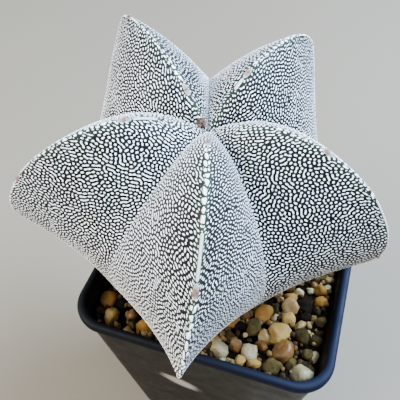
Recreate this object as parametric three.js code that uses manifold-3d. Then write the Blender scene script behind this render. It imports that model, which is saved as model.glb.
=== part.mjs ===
// A potted five-ribbed bishop's cap cactus in a square nursery pot, dressed with gravel.
// Millimetres, +Z up. The origin is the middle of the pot's underside.
import * as THREE from 'three';
import { mergeVertices } from 'three/addons/utils/BufferGeometryUtils.js';
import Module from 'manifold-3d';

const wasm = await Module();
wasm.setup();

const DEG = Math.PI / 180;
const TURN = 2 * Math.PI;

// Pot
const POT_SIDE = 75;
const POT_HEIGHT = 80;
const POT_CORNER = 10;
const POT_TAPER = 0.156; // how far each wall leans in for each millimetre of depth
const POT_WALL = 1.2;
const RIM_STEP = 0.9; // how far the rim bead stands out past the wall
const RIM_WIDTH = 2.4;
const RIM_DEPTH = 3.0;
const FLOOR_THICKNESS = 1.5;
const FOOT_HEIGHT = 2.0;
const FOOT_WIDTH = 6.0;
const DRAIN_RADIUS = 4.0;
const DRAIN_OFFSET = 14.0;
const CORNER_STEPS = 6;
const CORNER_TIGHTENING = 0.6;

// Fill
const GAP = 0.3; // clearance between solids that touch
const MIX_TOP = POT_HEIGHT - 16;
const BED_TOP = POT_HEIGHT - 9.5; // the even bed under the loose top stones
const HEAP_TOP = POT_HEIGHT - 2; // no stone stands higher than this
const STONE_COUNT = 150;
const STONE_SEED = 2718;
const STONE_SMALL = 1.5; // half sizes of the stones
const STONE_LARGE = 3.6;
const STONE_SPACING = 0.72; // how near two stones may lie, as a share of their summed half sizes
const PLACED_STONES = [ // x, y and half size of the stones that are seen from the front
  [29.7, -28.6, 2.9], [23.1, -23.9, 3.0], [17.8, -21.1, 2.4], [21.2, -19.0, 3.3],
  [22.6, -13.0, 2.4], [22.4, -9.1, 2.7], [26.6, -13.8, 1.8], [15.4, -13.5, 2.7],
  [13.7, -18.7, 2.3], [9.7, -26.0, 2.1], [6.4, -29.0, 2.7], [14.6, -27.0, 2.8],
  [12.6, -30.2, 1.7], [16.2, -30.0, 1.9], [7.8, -32.0, 1.7], [10.9, -32.3, 1.4],
  [21.2, -29.3, 2.9], [24.7, -31.2, 1.4], [17.1, -24.0, 1.9], [30.3, -22.6, 1.8],
  [32.2, -22.6, 1.5], [30.2, -0.2, 2.0], [31.2, -4.4, 2.0], [26.8, -6.6, 2.7],
  [27.6, -11.0, 1.9], [32.2, 1.5, 1.5], [27.0, -0.9, 1.2], [23.9, -3.0, 1.5],
  [28.4, 1.5, 1.4], [31.8, -11.0, 1.9], [27.7, -17.9, 2.4], [26.1, -21.7, 1.4],
  [31.7, -17.6, 2.0], [32.1, 5.1, 1.6], [17.8, -15.9, 1.2], [18.8, -13.5, 1.2],
  [18.4, -10.4, 1.5], [26.3, -26.7, 1.7], [31.5, -26.4, 1.4], [9.5, -20.0, 1.8],
  [7.4, -23.4, 1.7], [-31.4, -23.3, 2.3], [-28.1, -28.7, 2.5], [-21.3, -31.8, 1.7],
  [-16.4, -29.1, 2.9], [-22.3, -26.5, 1.8], [-27.0, -23.6, 2.0],
];

// Cactus body, as polar curves about one middle point
const HEART = new THREE.Vector3(-7.1, 0.7, POT_HEIGHT + 22.7);
const LEAN = 1.4 * DEG; // the body leans this far, turning about X
const KNOTS = [0, 14, 30, 50, 70, 90, 110, 130].map((angle) => angle * DEG);
const CREST_REACH = [23.3, 30.1, 39.5, 48.7, 55.0, 56.5, 44.2, 31.1];
const FURROW_REACH = [23.3, 25.4, 27.8, 30.3, 33.6, 37.2, 36.6, 24.5];
const FLANK_SWELL = [0.12, -0.07]; // at the crown and at the foot, as a share of a flank's width
const RIBS = [ // angles in degrees; pinch and keel draw a rib's lower flanks in
  {
    azimuth: -71.4, sweep: -7.6, size: 0.996, foot: -0.116, pinch: -0.018, keel: 0.032,
    areoles: [23, 63, 98],
  },
  {
    azimuth: -7.4, sweep: 0.2, size: 0.88, foot: -0.003, pinch: 0, keel: 0,
    areoles: [12, 47, 83],
  },
  {
    azimuth: 63.4, sweep: 11.9, size: 1.05, foot: -0.01, pinch: 0, keel: 0,
    areoles: [24, 67, 100],
  },
  {
    azimuth: 145.2, sweep: -17.7, size: 1.136, foot: 0.014, pinch: 0, keel: 0,
    areoles: [16, 48, 84],
  },
  {
    azimuth: 216.4, sweep: -11.6, size: 0.942, foot: 0.033, pinch: 0, keel: 0,
    areoles: [32, 70, 104],
  },
];
const FURROWS = [ // each lies after the rib of the same number
  { shift: -5.0, depth: 0.002 },
  { shift: 1.7, depth: -0.018 },
  { shift: 3.0, depth: -0.009 },
  { shift: 2.0, depth: 0.03 },
  { shift: 0.8, depth: 0.015 },
];
const FULL_RIB_ANGLE = 60 * DEG; // from here down a rib has its whole size
const FOOT_ANGLE = 50 * DEG; // from here down a rib's foot value counts
const FOOT_SPAN = 80 * DEG;
const KEEL_FROM = 60 * DEG; // the pinch and the keel grow between these two polar angles
const KEEL_FULL = 95 * DEG;
const FLANK_STEPS = 9;
const BODY_STEPS = 34;

// Woolly flecks, far larger than life so that they read on these faces
const FLECK_HEIGHT = 0.55;
const FLECK_PITCH = 2.4; // where the faces are narrower than this, the flecks are lower
const FLECK_LINKED = 0.35; // the share of flecks that run on into the next row
const FLECK_SEED = 977;
const AREOLE_RADIUS = 1.3;
const CROWN_FELT_RADIUS = 1.7;
const CROWN_FELT_RIB = 3; // the felt of the crown lies a little way down this rib's crest
const CROWN_FELT_ANGLE = 7 * DEG;

// Root collar and taproot
const NECK_RADIUS = 15.0;
const NECK_TOP = POT_HEIGHT - 3.2;
const COLLAR_STEPS = 5;
const TAPROOT = [[0, -46], [3, -45.5], [8.5, -36], [NECK_RADIUS, -22]] // from the rim down
  .map(([radius, z]) => [radius, POT_HEIGHT + z]);

// Returns a function that gives the same even numbers between 0 and 1 for the same seed.
function seededNumbers(seed) {
  let state = seed;
  return () => {
    state = (state * 48271) % 2147483647;
    return state / 2147483647;
  };
}

// A smooth curve through values at knots, with the slope between a knot's two neighbours.
function curveThrough(values, x) {
  const last = KNOTS.length - 1;
  const slope = (i) => {
    const before = Math.max(i - 1, 0);
    const after = Math.min(i + 1, last);
    return (values[after] - values[before]) / (KNOTS[after] - KNOTS[before]);
  };
  let i = 0;
  while (i < last - 1 && x >= KNOTS[i + 1]) i += 1;
  const span = KNOTS[i + 1] - KNOTS[i];
  const t = (x - KNOTS[i]) / span;
  return (1 + 2 * t) * (1 - t) ** 2 * values[i] + t * (1 - t) ** 2 * span * slope(i)
    + t * t * (3 - 2 * t) * values[i + 1] + t * t * (t - 1) * span * slope(i + 1);
}

function growth(polar) {
  return Math.sin(Math.min(polar / FULL_RIB_ANGLE, 1) * Math.PI / 2);
}

function footShare(polar) {
  return (Math.max(polar - FOOT_ANGLE, 0) / FOOT_SPAN) ** 2;
}

function fromHeart(polar, azimuth, reach) {
  return new THREE.Vector3(
    Math.sin(polar) * Math.cos(azimuth), Math.sin(polar) * Math.sin(azimuth), Math.cos(polar),
  ).multiplyScalar(reach);
}

function crestAzimuth(rib, polar) {
  return (RIBS[rib].azimuth + RIBS[rib].sweep * (polar / (Math.PI / 2)) ** 2) * DEG;
}

function crestPoint(rib, polar) {
  const { size, foot } = RIBS[rib];
  const scale = 1 + (size - 1) * growth(polar) + foot * footShare(polar);
  return fromHeart(polar, crestAzimuth(rib, polar), curveThrough(CREST_REACH, polar) * scale);
}

function furrowPoint(rib, polar) {
  const next = (rib + 1) % RIBS.length;
  const wrap = next === 0 ? TURN : 0;
  const { shift, depth } = FURROWS[rib];
  const azimuth = (crestAzimuth(rib, polar) + crestAzimuth(next, polar) + wrap) / 2
    + shift * DEG * growth(polar);
  const size = (RIBS[rib].size + RIBS[next].size) / 2;
  const foot = (RIBS[rib].foot + RIBS[next].foot) / 2;
  const scale = 1 + (size - 1) * growth(polar) + foot * footShare(polar);
  const reach = curveThrough(FURROW_REACH, polar) * scale * (1 + depth * growth(polar));
  return fromHeart(polar, azimuth, reach);
}

// How far a flank stands out from the straight way between crest and furrow, as a share of its
// width. A keeled rib is drawn in beside its crest and fuller beside its furrows.
function flankSwell(rib, across, polar) {
  const { pinch, keel } = RIBS[rib];
  const t = Math.min(Math.max((polar - KEEL_FROM) / (KEEL_FULL - KEEL_FROM), 0), 1);
  const low = t * t * (3 - 2 * t);
  const even = FLANK_SWELL[0]
    + (FLANK_SWELL[1] - FLANK_SWELL[0]) * polar / KNOTS[KNOTS.length - 1];
  return (even + low * (pinch - keel * (1 - 2 * across))) * 4 * across * (1 - across);
}

// A point of the flank between rib crest (across 0) and furrow (across 1), and its outward normal.
// The flank leaves the crest of rib `crest` and runs to the furrow after rib `furrow`.
function flankPoint(crest, furrow, across, polar) {
  const top = crestPoint(crest, polar);
  const span = furrowPoint(furrow, polar).sub(top);
  const step = 0.5 * DEG;
  const lower = Math.min(polar + step, KNOTS[KNOTS.length - 1]);
  const upper = Math.max(polar - step, 0);
  const along = crestPoint(crest, lower).add(furrowPoint(furrow, lower))
    .sub(crestPoint(crest, upper)).sub(furrowPoint(furrow, upper));
  const normal = along.cross(span).normalize();
  if (normal.dot(top) < 0) normal.negate();
  const point = top.addScaledVector(span, across)
    .addScaledVector(normal, span.length() * flankSwell(crest, across, polar));
  return { point, normal };
}

const COLUMNS = RIBS.length * 2 * FLANK_STEPS;

// The body has COLUMNS columns: for each rib, down its flank to the furrow and up the next rib's.
function columnPlace(column) {
  const sector = Math.floor(column / (2 * FLANK_STEPS)) % RIBS.length;
  const step = column % (2 * FLANK_STEPS);
  const rising = step > FLANK_STEPS;
  return {
    crest: rising ? (sector + 1) % RIBS.length : sector,
    furrow: sector,
    across: (rising ? 2 * FLANK_STEPS - step : step) / FLANK_STEPS,
  };
}

function intoPot(point) {
  return point.applyAxisAngle(new THREE.Vector3(1, 0, 0), LEAN).add(HEART);
}

function bodyPoint(column, polar, raise) {
  const { crest, furrow, across } = columnPlace(column);
  const { point, normal } = flankPoint(crest, furrow, across, polar);
  return intoPot(point.addScaledVector(normal, raise));
}

// Builds a closed solid from a lathe's grid of `rows` from bottom to top, both ends on the axis,
// after each of its vertices is moved to place(column, row).
function remappedLathe(rows, columns, place) {
  const profile = Array.from({ length: rows }, (_, row) => new THREE.Vector2(1, row));
  const geometry = new THREE.LatheGeometry(profile, columns);
  const position = geometry.getAttribute('position');
  for (let i = 0; i < position.count; i += 1) {
    const spot = place(Math.floor(i / rows) % columns, i % rows);
    position.setXYZ(i, spot.x, spot.y, spot.z);
  }
  return closedGeometry(geometry);
}

// Merges shared vertices and drops the triangles that have shrunk to a line.
function closedGeometry(geometry) {
  geometry.deleteAttribute('normal');
  geometry.deleteAttribute('uv');
  const merged = mergeVertices(geometry, 1e-4);
  const corners = merged.getIndex().array;
  const kept = [];
  for (let i = 0; i < corners.length; i += 3) {
    const [a, b, c] = [corners[i], corners[i + 1], corners[i + 2]];
    if (a !== b && b !== c && c !== a) kept.push(a, b, c);
  }
  merged.setIndex(kept);
  return merged;
}

function toSolid(geometry) {
  const shared = geometry.getAttribute('normal') ? closedGeometry(geometry) : geometry;
  return new wasm.Manifold(new wasm.Mesh({
    numProp: 3,
    vertProperties: new Float32Array(shared.getAttribute('position').array),
    triVerts: new Uint32Array(shared.getIndex().array),
  }));
}

function toGeometry(solid) {
  const mesh = solid.getMesh();
  const geometry = new THREE.BufferGeometry();
  geometry.setAttribute('position', new THREE.BufferAttribute(mesh.vertProperties, 3));
  geometry.setIndex(new THREE.BufferAttribute(mesh.triVerts, 1));
  geometry.computeVertexNormals();
  return geometry;
}

// A rounded square's outline point: the corner arcs carry the columns, the sides are straight.
function squarePoint(half, corner, column, z) {
  const perCorner = CORNER_STEPS + 1;
  const quarter = Math.floor(column / perCorner);
  const start = quarter * Math.PI / 2;
  const angle = start + (column % perCorner) / CORNER_STEPS * Math.PI / 2;
  const toCorner = (half - corner) * Math.SQRT2;
  return new THREE.Vector3(
    toCorner * Math.cos(start + Math.PI / 4) + corner * Math.cos(angle),
    toCorner * Math.sin(start + Math.PI / 4) + corner * Math.sin(angle),
    z,
  );
}

// The corners get tighter as the pot gets narrower.
function cornerRadius(half) {
  return POT_CORNER - (POT_SIDE / 2 - half) * CORNER_TIGHTENING;
}

// A closed solid of rounded squares: each row has its half width and its height.
function squareLathe(rows) {
  return remappedLathe(rows.length, 4 * (CORNER_STEPS + 1), (column, row) => {
    const [half, z] = rows[row];
    if (half === 0) return new THREE.Vector3(0, 0, z);
    return squarePoint(half, cornerRadius(half), column, z);
  });
}

// A closed solid turned about a vertical axis through x and y, from its radii and heights.
function roundLathe(rows, x, y, columns = 48) {
  return remappedLathe(rows.length, columns, (column, row) => {
    const [radius, z] = rows[row];
    const angle = column / columns * TURN;
    return new THREE.Vector3(x + radius * Math.cos(angle), y + radius * Math.sin(angle), z);
  });
}

function outerHalf(z) {
  return POT_SIDE / 2 - RIM_STEP - POT_TAPER * (POT_HEIGHT - z);
}

function innerHalf(z) {
  return outerHalf(z) - POT_WALL;
}

function makePot() {
  const floorTop = FOOT_HEIGHT + FLOOR_THICKNESS;
  const beadFoot = POT_HEIGHT - RIM_DEPTH;
  const half = POT_SIDE / 2;
  const shell = toSolid(squareLathe([
    [0, FOOT_HEIGHT],
    [outerHalf(FOOT_HEIGHT) - 1.0, FOOT_HEIGHT],
    [outerHalf(FOOT_HEIGHT + 1.0), FOOT_HEIGHT + 1.0],
    [outerHalf(beadFoot), beadFoot],
    [half - 0.2, beadFoot + 0.5],
    [half, beadFoot + 1.2],
    [half, POT_HEIGHT - 0.9],
    [half - 0.4, POT_HEIGHT - 0.25],
    [half - 1.1, POT_HEIGHT],
    [half - RIM_WIDTH + 0.5, POT_HEIGHT - 0.2],
    [half - RIM_WIDTH, POT_HEIGHT - 0.9],
    [innerHalf(beadFoot), beadFoot],
    [innerHalf(floorTop), floorTop],
    [0, floorTop],
  ]));
  const reach = outerHalf(FOOT_HEIGHT) - 2.5;
  const feet = [45, -45].map((angle) => {
    const bar = new THREE.BoxGeometry(2 * reach * 1.3, FOOT_WIDTH, FOOT_HEIGHT + 0.5);
    bar.translate(0, 0, (FOOT_HEIGHT + 0.5) / 2);
    bar.rotateZ(angle * DEG);
    return toSolid(bar);
  });
  const drains = [0, 90, 180, 270].map((angle) => {
    const x = DRAIN_OFFSET * Math.cos(angle * DEG);
    const y = DRAIN_OFFSET * Math.sin(angle * DEG);
    const rows = [[0, -1], [DRAIN_RADIUS, -1], [DRAIN_RADIUS, floorTop + 1], [0, floorTop + 1]];
    return toSolid(roundLathe(rows, x, y, 20));
  });
  const footed = feet.reduce((whole, foot) => whole.add(foot), shell);
  return toGeometry(drains.reduce((whole, drain) => whole.subtract(drain), footed));
}

// What the taproot and the collar need: their own outline, grown by the clearance.
function rootSpace(top) {
  const rows = TAPROOT.map(([radius, z]) => [radius === 0 ? 0 : radius + GAP, z]);
  rows[0] = [0, TAPROOT[0][1] - GAP];
  rows[1] = [rows[1][0], TAPROOT[1][1] - GAP];
  rows.push([NECK_RADIUS + GAP, top], [0, top]);
  return toSolid(roundLathe(rows, HEART.x, HEART.y));
}

function makeMix() {
  const bottom = FOOT_HEIGHT + FLOOR_THICKNESS + GAP;
  const block = toSolid(squareLathe([
    [0, bottom],
    [innerHalf(bottom) - GAP, bottom],
    [innerHalf(MIX_TOP) - GAP, MIX_TOP],
    [0, MIX_TOP],
  ]));
  return toGeometry(block.subtract(rootSpace(MIX_TOP + 5)));
}

// The distance from a place on the bed to the wall round it.
function roomToWall(x, y) {
  const half = innerHalf(BED_TOP);
  const corner = cornerRadius(half);
  const past = [Math.abs(x) - (half - corner), Math.abs(y) - (half - corner)];
  const inCorner = Math.hypot(Math.max(past[0], 0), Math.max(past[1], 0));
  return corner - inCorner - Math.min(Math.max(past[0], past[1]), 0);
}

// The placed stones come first. Then stones are drawn one after another, and one that lies too
// near an earlier one, the wall or the stem is left out.
function scatterStones() {
  const draw = seededNumbers(STONE_SEED);
  const reach = innerHalf(BED_TOP);
  const stones = [];
  const lay = (x, y, half) => {
    const tumble = [draw() * TURN, draw() * TURN, draw() * TURN];
    stones.push({ x, y, z: BED_TOP + half * (0.15 + 0.5 * draw()), half, tumble });
  };
  PLACED_STONES.forEach(([x, y, half]) => lay(x, y, half));
  for (let tries = 0; tries < 9000 && stones.length < STONE_COUNT; tries += 1) {
    const half = STONE_SMALL + (STONE_LARGE - STONE_SMALL) * draw() ** 1.6;
    const x = (2 * draw() - 1) * reach;
    const y = (2 * draw() - 1) * reach;
    const fromStem = Math.hypot(x - HEART.x, y - HEART.y);
    const clear = stones.every((other) => Math.hypot(x - other.x, y - other.y)
      > (half + other.half) * STONE_SPACING);
    if (clear && fromStem > NECK_RADIUS + half && roomToWall(x, y) > half) lay(x, y, half);
  }
  return stones;
}

function makeStone({ x, y, z, half, tumble }, draw) {
  const stone = closedGeometry(new THREE.IcosahedronGeometry(1, 0));
  const position = stone.getAttribute('position');
  for (let i = 0; i < position.count; i += 1) {
    const reach = 0.86 + 0.3 * draw();
    position.setXYZ(
      i, position.getX(i) * reach, position.getY(i) * reach, position.getZ(i) * reach,
    );
  }
  stone.scale(half * 1.12, half * 0.95, half * 0.78);
  stone.rotateX(tumble[0]);
  stone.rotateY(tumble[1]);
  stone.rotateZ(tumble[2]);
  stone.translate(x, y, z);
  return toSolid(stone);
}

function makeGravel() {
  const cavity = (top) => squareLathe([
    [0, MIX_TOP],
    [innerHalf(MIX_TOP) - GAP, MIX_TOP],
    [innerHalf(top) - GAP, top],
    [0, top],
  ]);
  const draw = seededNumbers(STONE_SEED + 1);
  const stones = scatterStones().map((stone) => makeStone(stone, draw));
  const heap = wasm.Manifold.union([toSolid(cavity(BED_TOP)), ...stones]);
  const inPot = heap.intersect(toSolid(cavity(HEAP_TOP)));
  return toGeometry(inPot.subtract(rootSpace(HEAP_TOP + 5)));
}

// The height of the fleck relief at each column and row of the body: studs in a staggered
// diamond, some of which run on into the next row as short ridges.
function fleckRelief() {
  const draw = seededNumbers(FLECK_SEED);
  const relief = Array.from({ length: COLUMNS }, () => new Array(BODY_STEPS + 1).fill(0));
  for (let row = 2; row < BODY_STEPS; row += 2) {
    for (let column = 0; column < COLUMNS; column += 1) {
      const linked = draw() < FLECK_LINKED;
      const onCrestOrFurrow = column % FLANK_STEPS === 0;
      if ((column + row / 2) % 2 === 0 && !onCrestOrFurrow) {
        relief[column][row] = FLECK_HEIGHT;
        if (linked && row + 1 < BODY_STEPS) relief[column][row + 1] = FLECK_HEIGHT * 0.8;
      }
    }
  }
  return relief;
}

// A smooth path from the star-shaped foot of the body to the round neck.
function collarPoint(column, share) {
  const foot = KNOTS[KNOTS.length - 1];
  const start = bodyPoint(column, foot, 0);
  const heading = start.clone().sub(bodyPoint(column, foot - 2 * DEG, 0)).setLength(6);
  const around = Math.atan2(start.y - HEART.y, start.x - HEART.x);
  const neck = new THREE.Vector3(
    HEART.x + NECK_RADIUS * Math.cos(around), HEART.y + NECK_RADIUS * Math.sin(around), NECK_TOP,
  );
  const path = new THREE.CubicBezierCurve3(
    start, start.clone().add(heading), neck.clone().add(new THREE.Vector3(0, 0, 3)), neck,
  );
  return path.getPoint(share);
}

function makeBody() {
  const relief = fleckRelief();
  const footAngle = KNOTS[KNOTS.length - 1];
  const rootRows = TAPROOT.length;
  const neckRow = rootRows; // the top of the round neck
  const bodyRow = neckRow + COLLAR_STEPS; // the foot of the ribbed body
  const rows = bodyRow + BODY_STEPS + 1;
  return remappedLathe(rows, COLUMNS, (column, row) => {
    if (row >= bodyRow) {
      const step = BODY_STEPS - (row - bodyRow);
      if (step === 0) return intoPot(fromHeart(0, 0, CREST_REACH[0]));
      const polar = step / BODY_STEPS * footAngle;
      const faceWidth = bodyPoint(column, polar, 0).distanceTo(bodyPoint(column + 1, polar, 0));
      const share = Math.min(faceWidth / FLECK_PITCH, 1);
      return bodyPoint(column, polar, relief[column][step] * share);
    }
    if (row >= neckRow) return collarPoint(column, 1 - (row - neckRow) / COLLAR_STEPS);
    const neck = collarPoint(column, 1);
    const [radius, z] = TAPROOT[row];
    return new THREE.Vector3(
      HEART.x + (neck.x - HEART.x) * radius / NECK_RADIUS,
      HEART.y + (neck.y - HEART.y) * radius / NECK_RADIUS,
      z,
    );
  });
}

function makeFelt(centre, radius) {
  const felt = new THREE.IcosahedronGeometry(radius, 0);
  felt.scale(1, 1, 0.7);
  felt.translate(centre.x, centre.y, centre.z);
  return toSolid(felt);
}

function makeCactus() {
  const areoles = RIBS.flatMap((rib, number) => rib.areoles
    .map((angle) => makeFelt(intoPot(crestPoint(number, angle * DEG)), AREOLE_RADIUS)));
  const crown = makeFelt(
    intoPot(crestPoint(CROWN_FELT_RIB, CROWN_FELT_ANGLE)), CROWN_FELT_RADIUS,
  );
  return toGeometry(wasm.Manifold.union([toSolid(makeBody()), ...areoles, crown]));
}

function finish(color, roughness) {
  return new THREE.MeshStandardMaterial({ color, roughness, metalness: 0 });
}

function part(name, geometry, material) {
  const mesh = new THREE.Mesh(geometry, material);
  mesh.name = name;
  return mesh;
}

const pottedCactus = new THREE.Group();
pottedCactus.add(
  part('pot', makePot(), finish('#1d2026', 0.45)),
  part('potting_mix', makeMix(), finish('#3a2a1e', 0.95)),
  part('gravel', makeGravel(), finish('#b79c78', 0.7)),
  part('cactus', makeCactus(), finish('#a9adaa', 0.85)),
);

export default pottedCactus;
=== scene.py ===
# %% [markdown]
# # A potted bishop's cap cactus
#
# The plant is a squat, spineless cactus with five broad ribs. Its dark green skin is covered with
# thousands of tiny tufts of white wool. It grows in a square plastic nursery pot that is dressed
# with mixed gravel. This lesson builds the looks around a frame of plain solids: the skin with
# its wool, the felt on the rib crests, the pot, the stones, the light and the camera.

# %% Load the frame
import math

import bpy
import numpy as np
from mathutils import Matrix, Vector


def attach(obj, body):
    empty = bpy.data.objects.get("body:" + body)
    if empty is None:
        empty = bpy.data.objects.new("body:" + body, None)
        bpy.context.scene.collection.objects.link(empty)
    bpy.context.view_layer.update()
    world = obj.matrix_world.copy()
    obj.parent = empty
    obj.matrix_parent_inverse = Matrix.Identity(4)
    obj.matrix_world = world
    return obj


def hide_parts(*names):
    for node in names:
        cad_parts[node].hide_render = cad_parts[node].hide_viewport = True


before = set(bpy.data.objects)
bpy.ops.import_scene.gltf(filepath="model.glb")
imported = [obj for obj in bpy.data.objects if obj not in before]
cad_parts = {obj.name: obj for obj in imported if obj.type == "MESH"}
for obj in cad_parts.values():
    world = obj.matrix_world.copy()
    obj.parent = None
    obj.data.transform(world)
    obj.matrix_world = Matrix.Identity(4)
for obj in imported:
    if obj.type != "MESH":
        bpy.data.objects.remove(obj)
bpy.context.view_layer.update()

print("solids loaded:", sorted(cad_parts))

# %% [markdown]
# Sizes are written in millimetres, as on a drawing, and turned into metres where a mesh is made.
# Operators act on all that is selected, so each step starts with nothing selected but its own
# piece. The first helpers add a primitive, edit a mesh, apply a modifier, and read, make and
# finish a piece.

# %% Helpers for meshes
MM = 0.001
DEG = math.pi / 180
TURN = 2 * math.pi


def pick(piece):
    bpy.ops.object.select_all(action="DESELECT")
    bpy.context.view_layer.objects.active = piece
    piece.select_set(True)


def add_primitive(operator, **settings):
    """Runs the operator that adds a primitive, and gives the new piece."""
    bpy.ops.object.select_all(action="DESELECT")
    operator(**settings)
    return bpy.context.object


def in_edit_mode(piece, *steps):
    """Runs each step in edit mode on the whole mesh of the piece."""
    pick(piece)
    bpy.ops.object.mode_set(mode="EDIT")
    for step in steps:
        bpy.ops.mesh.select_all(action="SELECT")
        step()
    bpy.ops.object.mode_set(mode="OBJECT")


def apply_modifier(piece, kind, **settings):
    pick(piece)
    modifier = piece.modifiers.new(kind.lower(), kind)
    for name, value in settings.items():
        setattr(modifier, name, value)
    bpy.ops.object.modifier_apply(modifier=modifier.name)


def at_vertices(piece, what):
    """The places ("co") or normals ("normal") of the vertices, one row for each."""
    flat = np.empty(len(piece.data.vertices) * 3)
    piece.data.vertices.foreach_get(what, flat)
    return flat.reshape(-1, 3)


def move_points(piece, points):
    """Puts the piece's vertices at these places, in millimetres."""
    piece.data.vertices.foreach_set("co", (points * MM).ravel())
    piece.data.update()


def taken_apart(piece):
    """The points and faces of a piece that is only a pattern for others, and is removed."""
    parts = at_vertices(piece, "co"), np.array([face.vertices[:] for face in piece.data.polygons])
    bpy.data.objects.remove(piece)
    return parts


def mesh_piece(name, points, faces):
    """A new object from points in millimetres and faces, smooth all over."""
    mesh = bpy.data.meshes.new(name)
    mesh.from_pydata((points * MM).tolist(), [], faces.tolist())
    mesh.polygons.foreach_set("use_smooth", [True] * len(mesh.polygons))
    mesh.update()
    piece = bpy.data.objects.new(name, mesh)
    bpy.context.collection.objects.link(piece)
    return piece


def store(piece, name, values):
    """Keeps one number for each vertex, which a material can read."""
    layer = piece.data.attributes.new(name, "FLOAT", "POINT")
    layer.data.foreach_set("value", np.asarray(values, np.float32))


def finish_piece(piece, material, node):
    """Gives the piece its material, hangs it on the root body, and hides the solid that it stands
    for.
    """
    piece.data.materials.clear()
    piece.data.materials.append(material)
    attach(piece, "root")
    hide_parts(node)
    triangles = sum(len(face.vertices) - 2 for face in piece.data.polygons)
    print(f"{piece.name}: {triangles} triangles")


# %% [markdown]
# A material is a net of shader nodes. One helper adds a node with its settings and links. Another
# turns a hex code, which is how a colour is given, into the linear values that light is
# reckoned in. All patterns are placed in millimetres on the object itself.

# %% Helpers for materials


def linear(code):
    """An sRGB hex code such as "#c8b090" as linear red, green, blue and alpha."""
    parts = [int(code[i:i + 2], 16) / 255 for i in (1, 3, 5)]
    return (*[p / 12.92 if p <= 0.04045 else ((p + 0.055) / 1.055) ** 2.4 for p in parts], 1.0)


def wire(node, links):
    """Gives each socket its value, a hex colour, another socket, or a node, of which the first
    output in use is meant."""
    for socket, value in links.items():
        if isinstance(value, bpy.types.Node):
            value = next(output for output in value.outputs if output.enabled)
        if isinstance(value, bpy.types.NodeSocket):
            node.id_data.links.new(value, node.inputs[socket])
        else:
            node.inputs[socket].default_value = linear(value) if isinstance(value, str) else value


def add(material, kind, links={}, stops={}, **settings):
    """Adds a node with its links, the stops of its colour ramp and its own settings."""
    node = material.node_tree.nodes.new("ShaderNode" + kind)
    for name, value in settings.items():
        setattr(node, name, value)
    for position, code in stops.items():
        spare = node.color_ramp.elements
        stop = spare[0] if position == 0 else spare[-1] if position == 1 else spare.new(position)
        stop.color = linear(code)
    wire(node, links)
    return node


def new_material(name):
    """A new material, its places in millimetres, and its principled shader to wire up."""
    material = bpy.data.materials.new(name)
    material.use_nodes = True
    material.node_tree.nodes.clear()
    shader = add(material, "BsdfPrincipled")
    add(material, "OutputMaterial", {"Surface": shader})
    places = add(material, "VectorMath", {
        0: add(material, "TexCoord").outputs["Object"], 1: (1 / MM,) * 3}, operation="MULTIPLY")
    print("new material:", name)
    return material, places, shader


# %% [markdown]
# The camera looks down at the plant from the front, as a person does who stands over the table.
# Its place and angles were worked out from the corners of the pot's rim.

# %% Camera
CAMERA_PLACE = Vector((23.81, -98.15, 213.55)) * MM
CAMERA_LOOKS_DOWN = 47.563 * DEG
CAMERA_HEADING = 18.605 * DEG
CAMERA_ROLL = -0.555 * DEG
CAMERA_LENS = 47.86

camera = bpy.data.objects.new("camera", bpy.data.cameras.new("camera"))
camera.data.sensor_fit = "HORIZONTAL"
camera.data.sensor_width = 36
camera.data.lens = CAMERA_LENS
camera.data.clip_start = 0.01
bpy.context.collection.objects.link(camera)
camera.matrix_world = (
    Matrix.Translation(CAMERA_PLACE)
    @ Matrix.Rotation(CAMERA_HEADING, 4, "Z")
    @ Matrix.Rotation(math.pi / 2 - CAMERA_LOOKS_DOWN, 4, "X")
    @ Matrix.Rotation(CAMERA_ROLL, 4, "Z")
)
bpy.context.scene.camera = camera
print("camera at", [round(v / MM, 1) for v in CAMERA_PLACE])

# %% [markdown]
# The light is soft, like that of a bright window: cool light from behind and from the right, and
# a weaker neutral light from the front left that fills the shadows. The surroundings are bright
# above and dim at the horizon, as in a room with a high window. The floor is plain and pale.

# %% Floor and lights
FLOOR_SIZE = 2.4
LAMP_AIM = Vector((0, 0, 95)) * MM

floor = add_primitive(bpy.ops.mesh.primitive_plane_add, size=FLOOR_SIZE, location=(0, 0, 0))
floor.name = "floor"
floor_finish, _, shader = new_material("painted_board")
wire(shader, {"Base Color": "#605645", "Roughness": 0.8})
floor.data.materials.append(floor_finish)


def soft_light(name, place, size, watts, code):
    """A square lamp at a place in millimetres that faces the plant."""
    lamp = bpy.data.objects.new(name, bpy.data.lights.new(name, "AREA"))
    lamp.data.size = size * MM
    lamp.data.energy = watts
    lamp.data.color = linear(code)[:3]
    lamp.location = Vector(place) * MM
    lamp.rotation_euler = (LAMP_AIM - lamp.location).to_track_quat("-Z", "Y").to_euler()
    bpy.context.collection.objects.link(lamp)
    print("lamp:", name, watts, "W")


soft_light("window", (380, 300, 660), 520, 60.0, "#bedaff")
soft_light("room", (-420, -300, 420), 420, 12.5, "#f6f4f2")

world = bpy.context.scene.world or bpy.data.worlds.new("world")
bpy.context.scene.world = world
world.use_nodes = True
world.node_tree.nodes.clear()
rise = add(world, "SeparateXYZ", {"Vector": add(world, "TexCoord").outputs["Generated"]})
height = rise.outputs["Z"]
brightness = add(world, "MapRange", {
    "Value": height, "From Max": 0.9, "To Min": 0.85, "To Max": 3.5})
sky = add(world, "ValToRGB", {"Fac": height}, stops={0: "#dfd9cf", 0.3: "#d4dfee", 1: "#cfe1fb"})
glow = add(world, "Background", {"Color": sky, "Strength": brightness})
add(world, "OutputWorld", {"Surface": glow})

# %% [markdown]
# ## The pot
#
# A nursery pot is thin, and moulded from polypropylene in one shot. It is square with rounded
# corners, tapers to its foot so that pots nest, and is stiffened by a rolled bead at the rim. A
# cube could be tapered and bevelled, but the corner radius shrinks with depth, so a flat grid is
# rolled up instead: each of its rows becomes one rounded square of the pot's wall.

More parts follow.
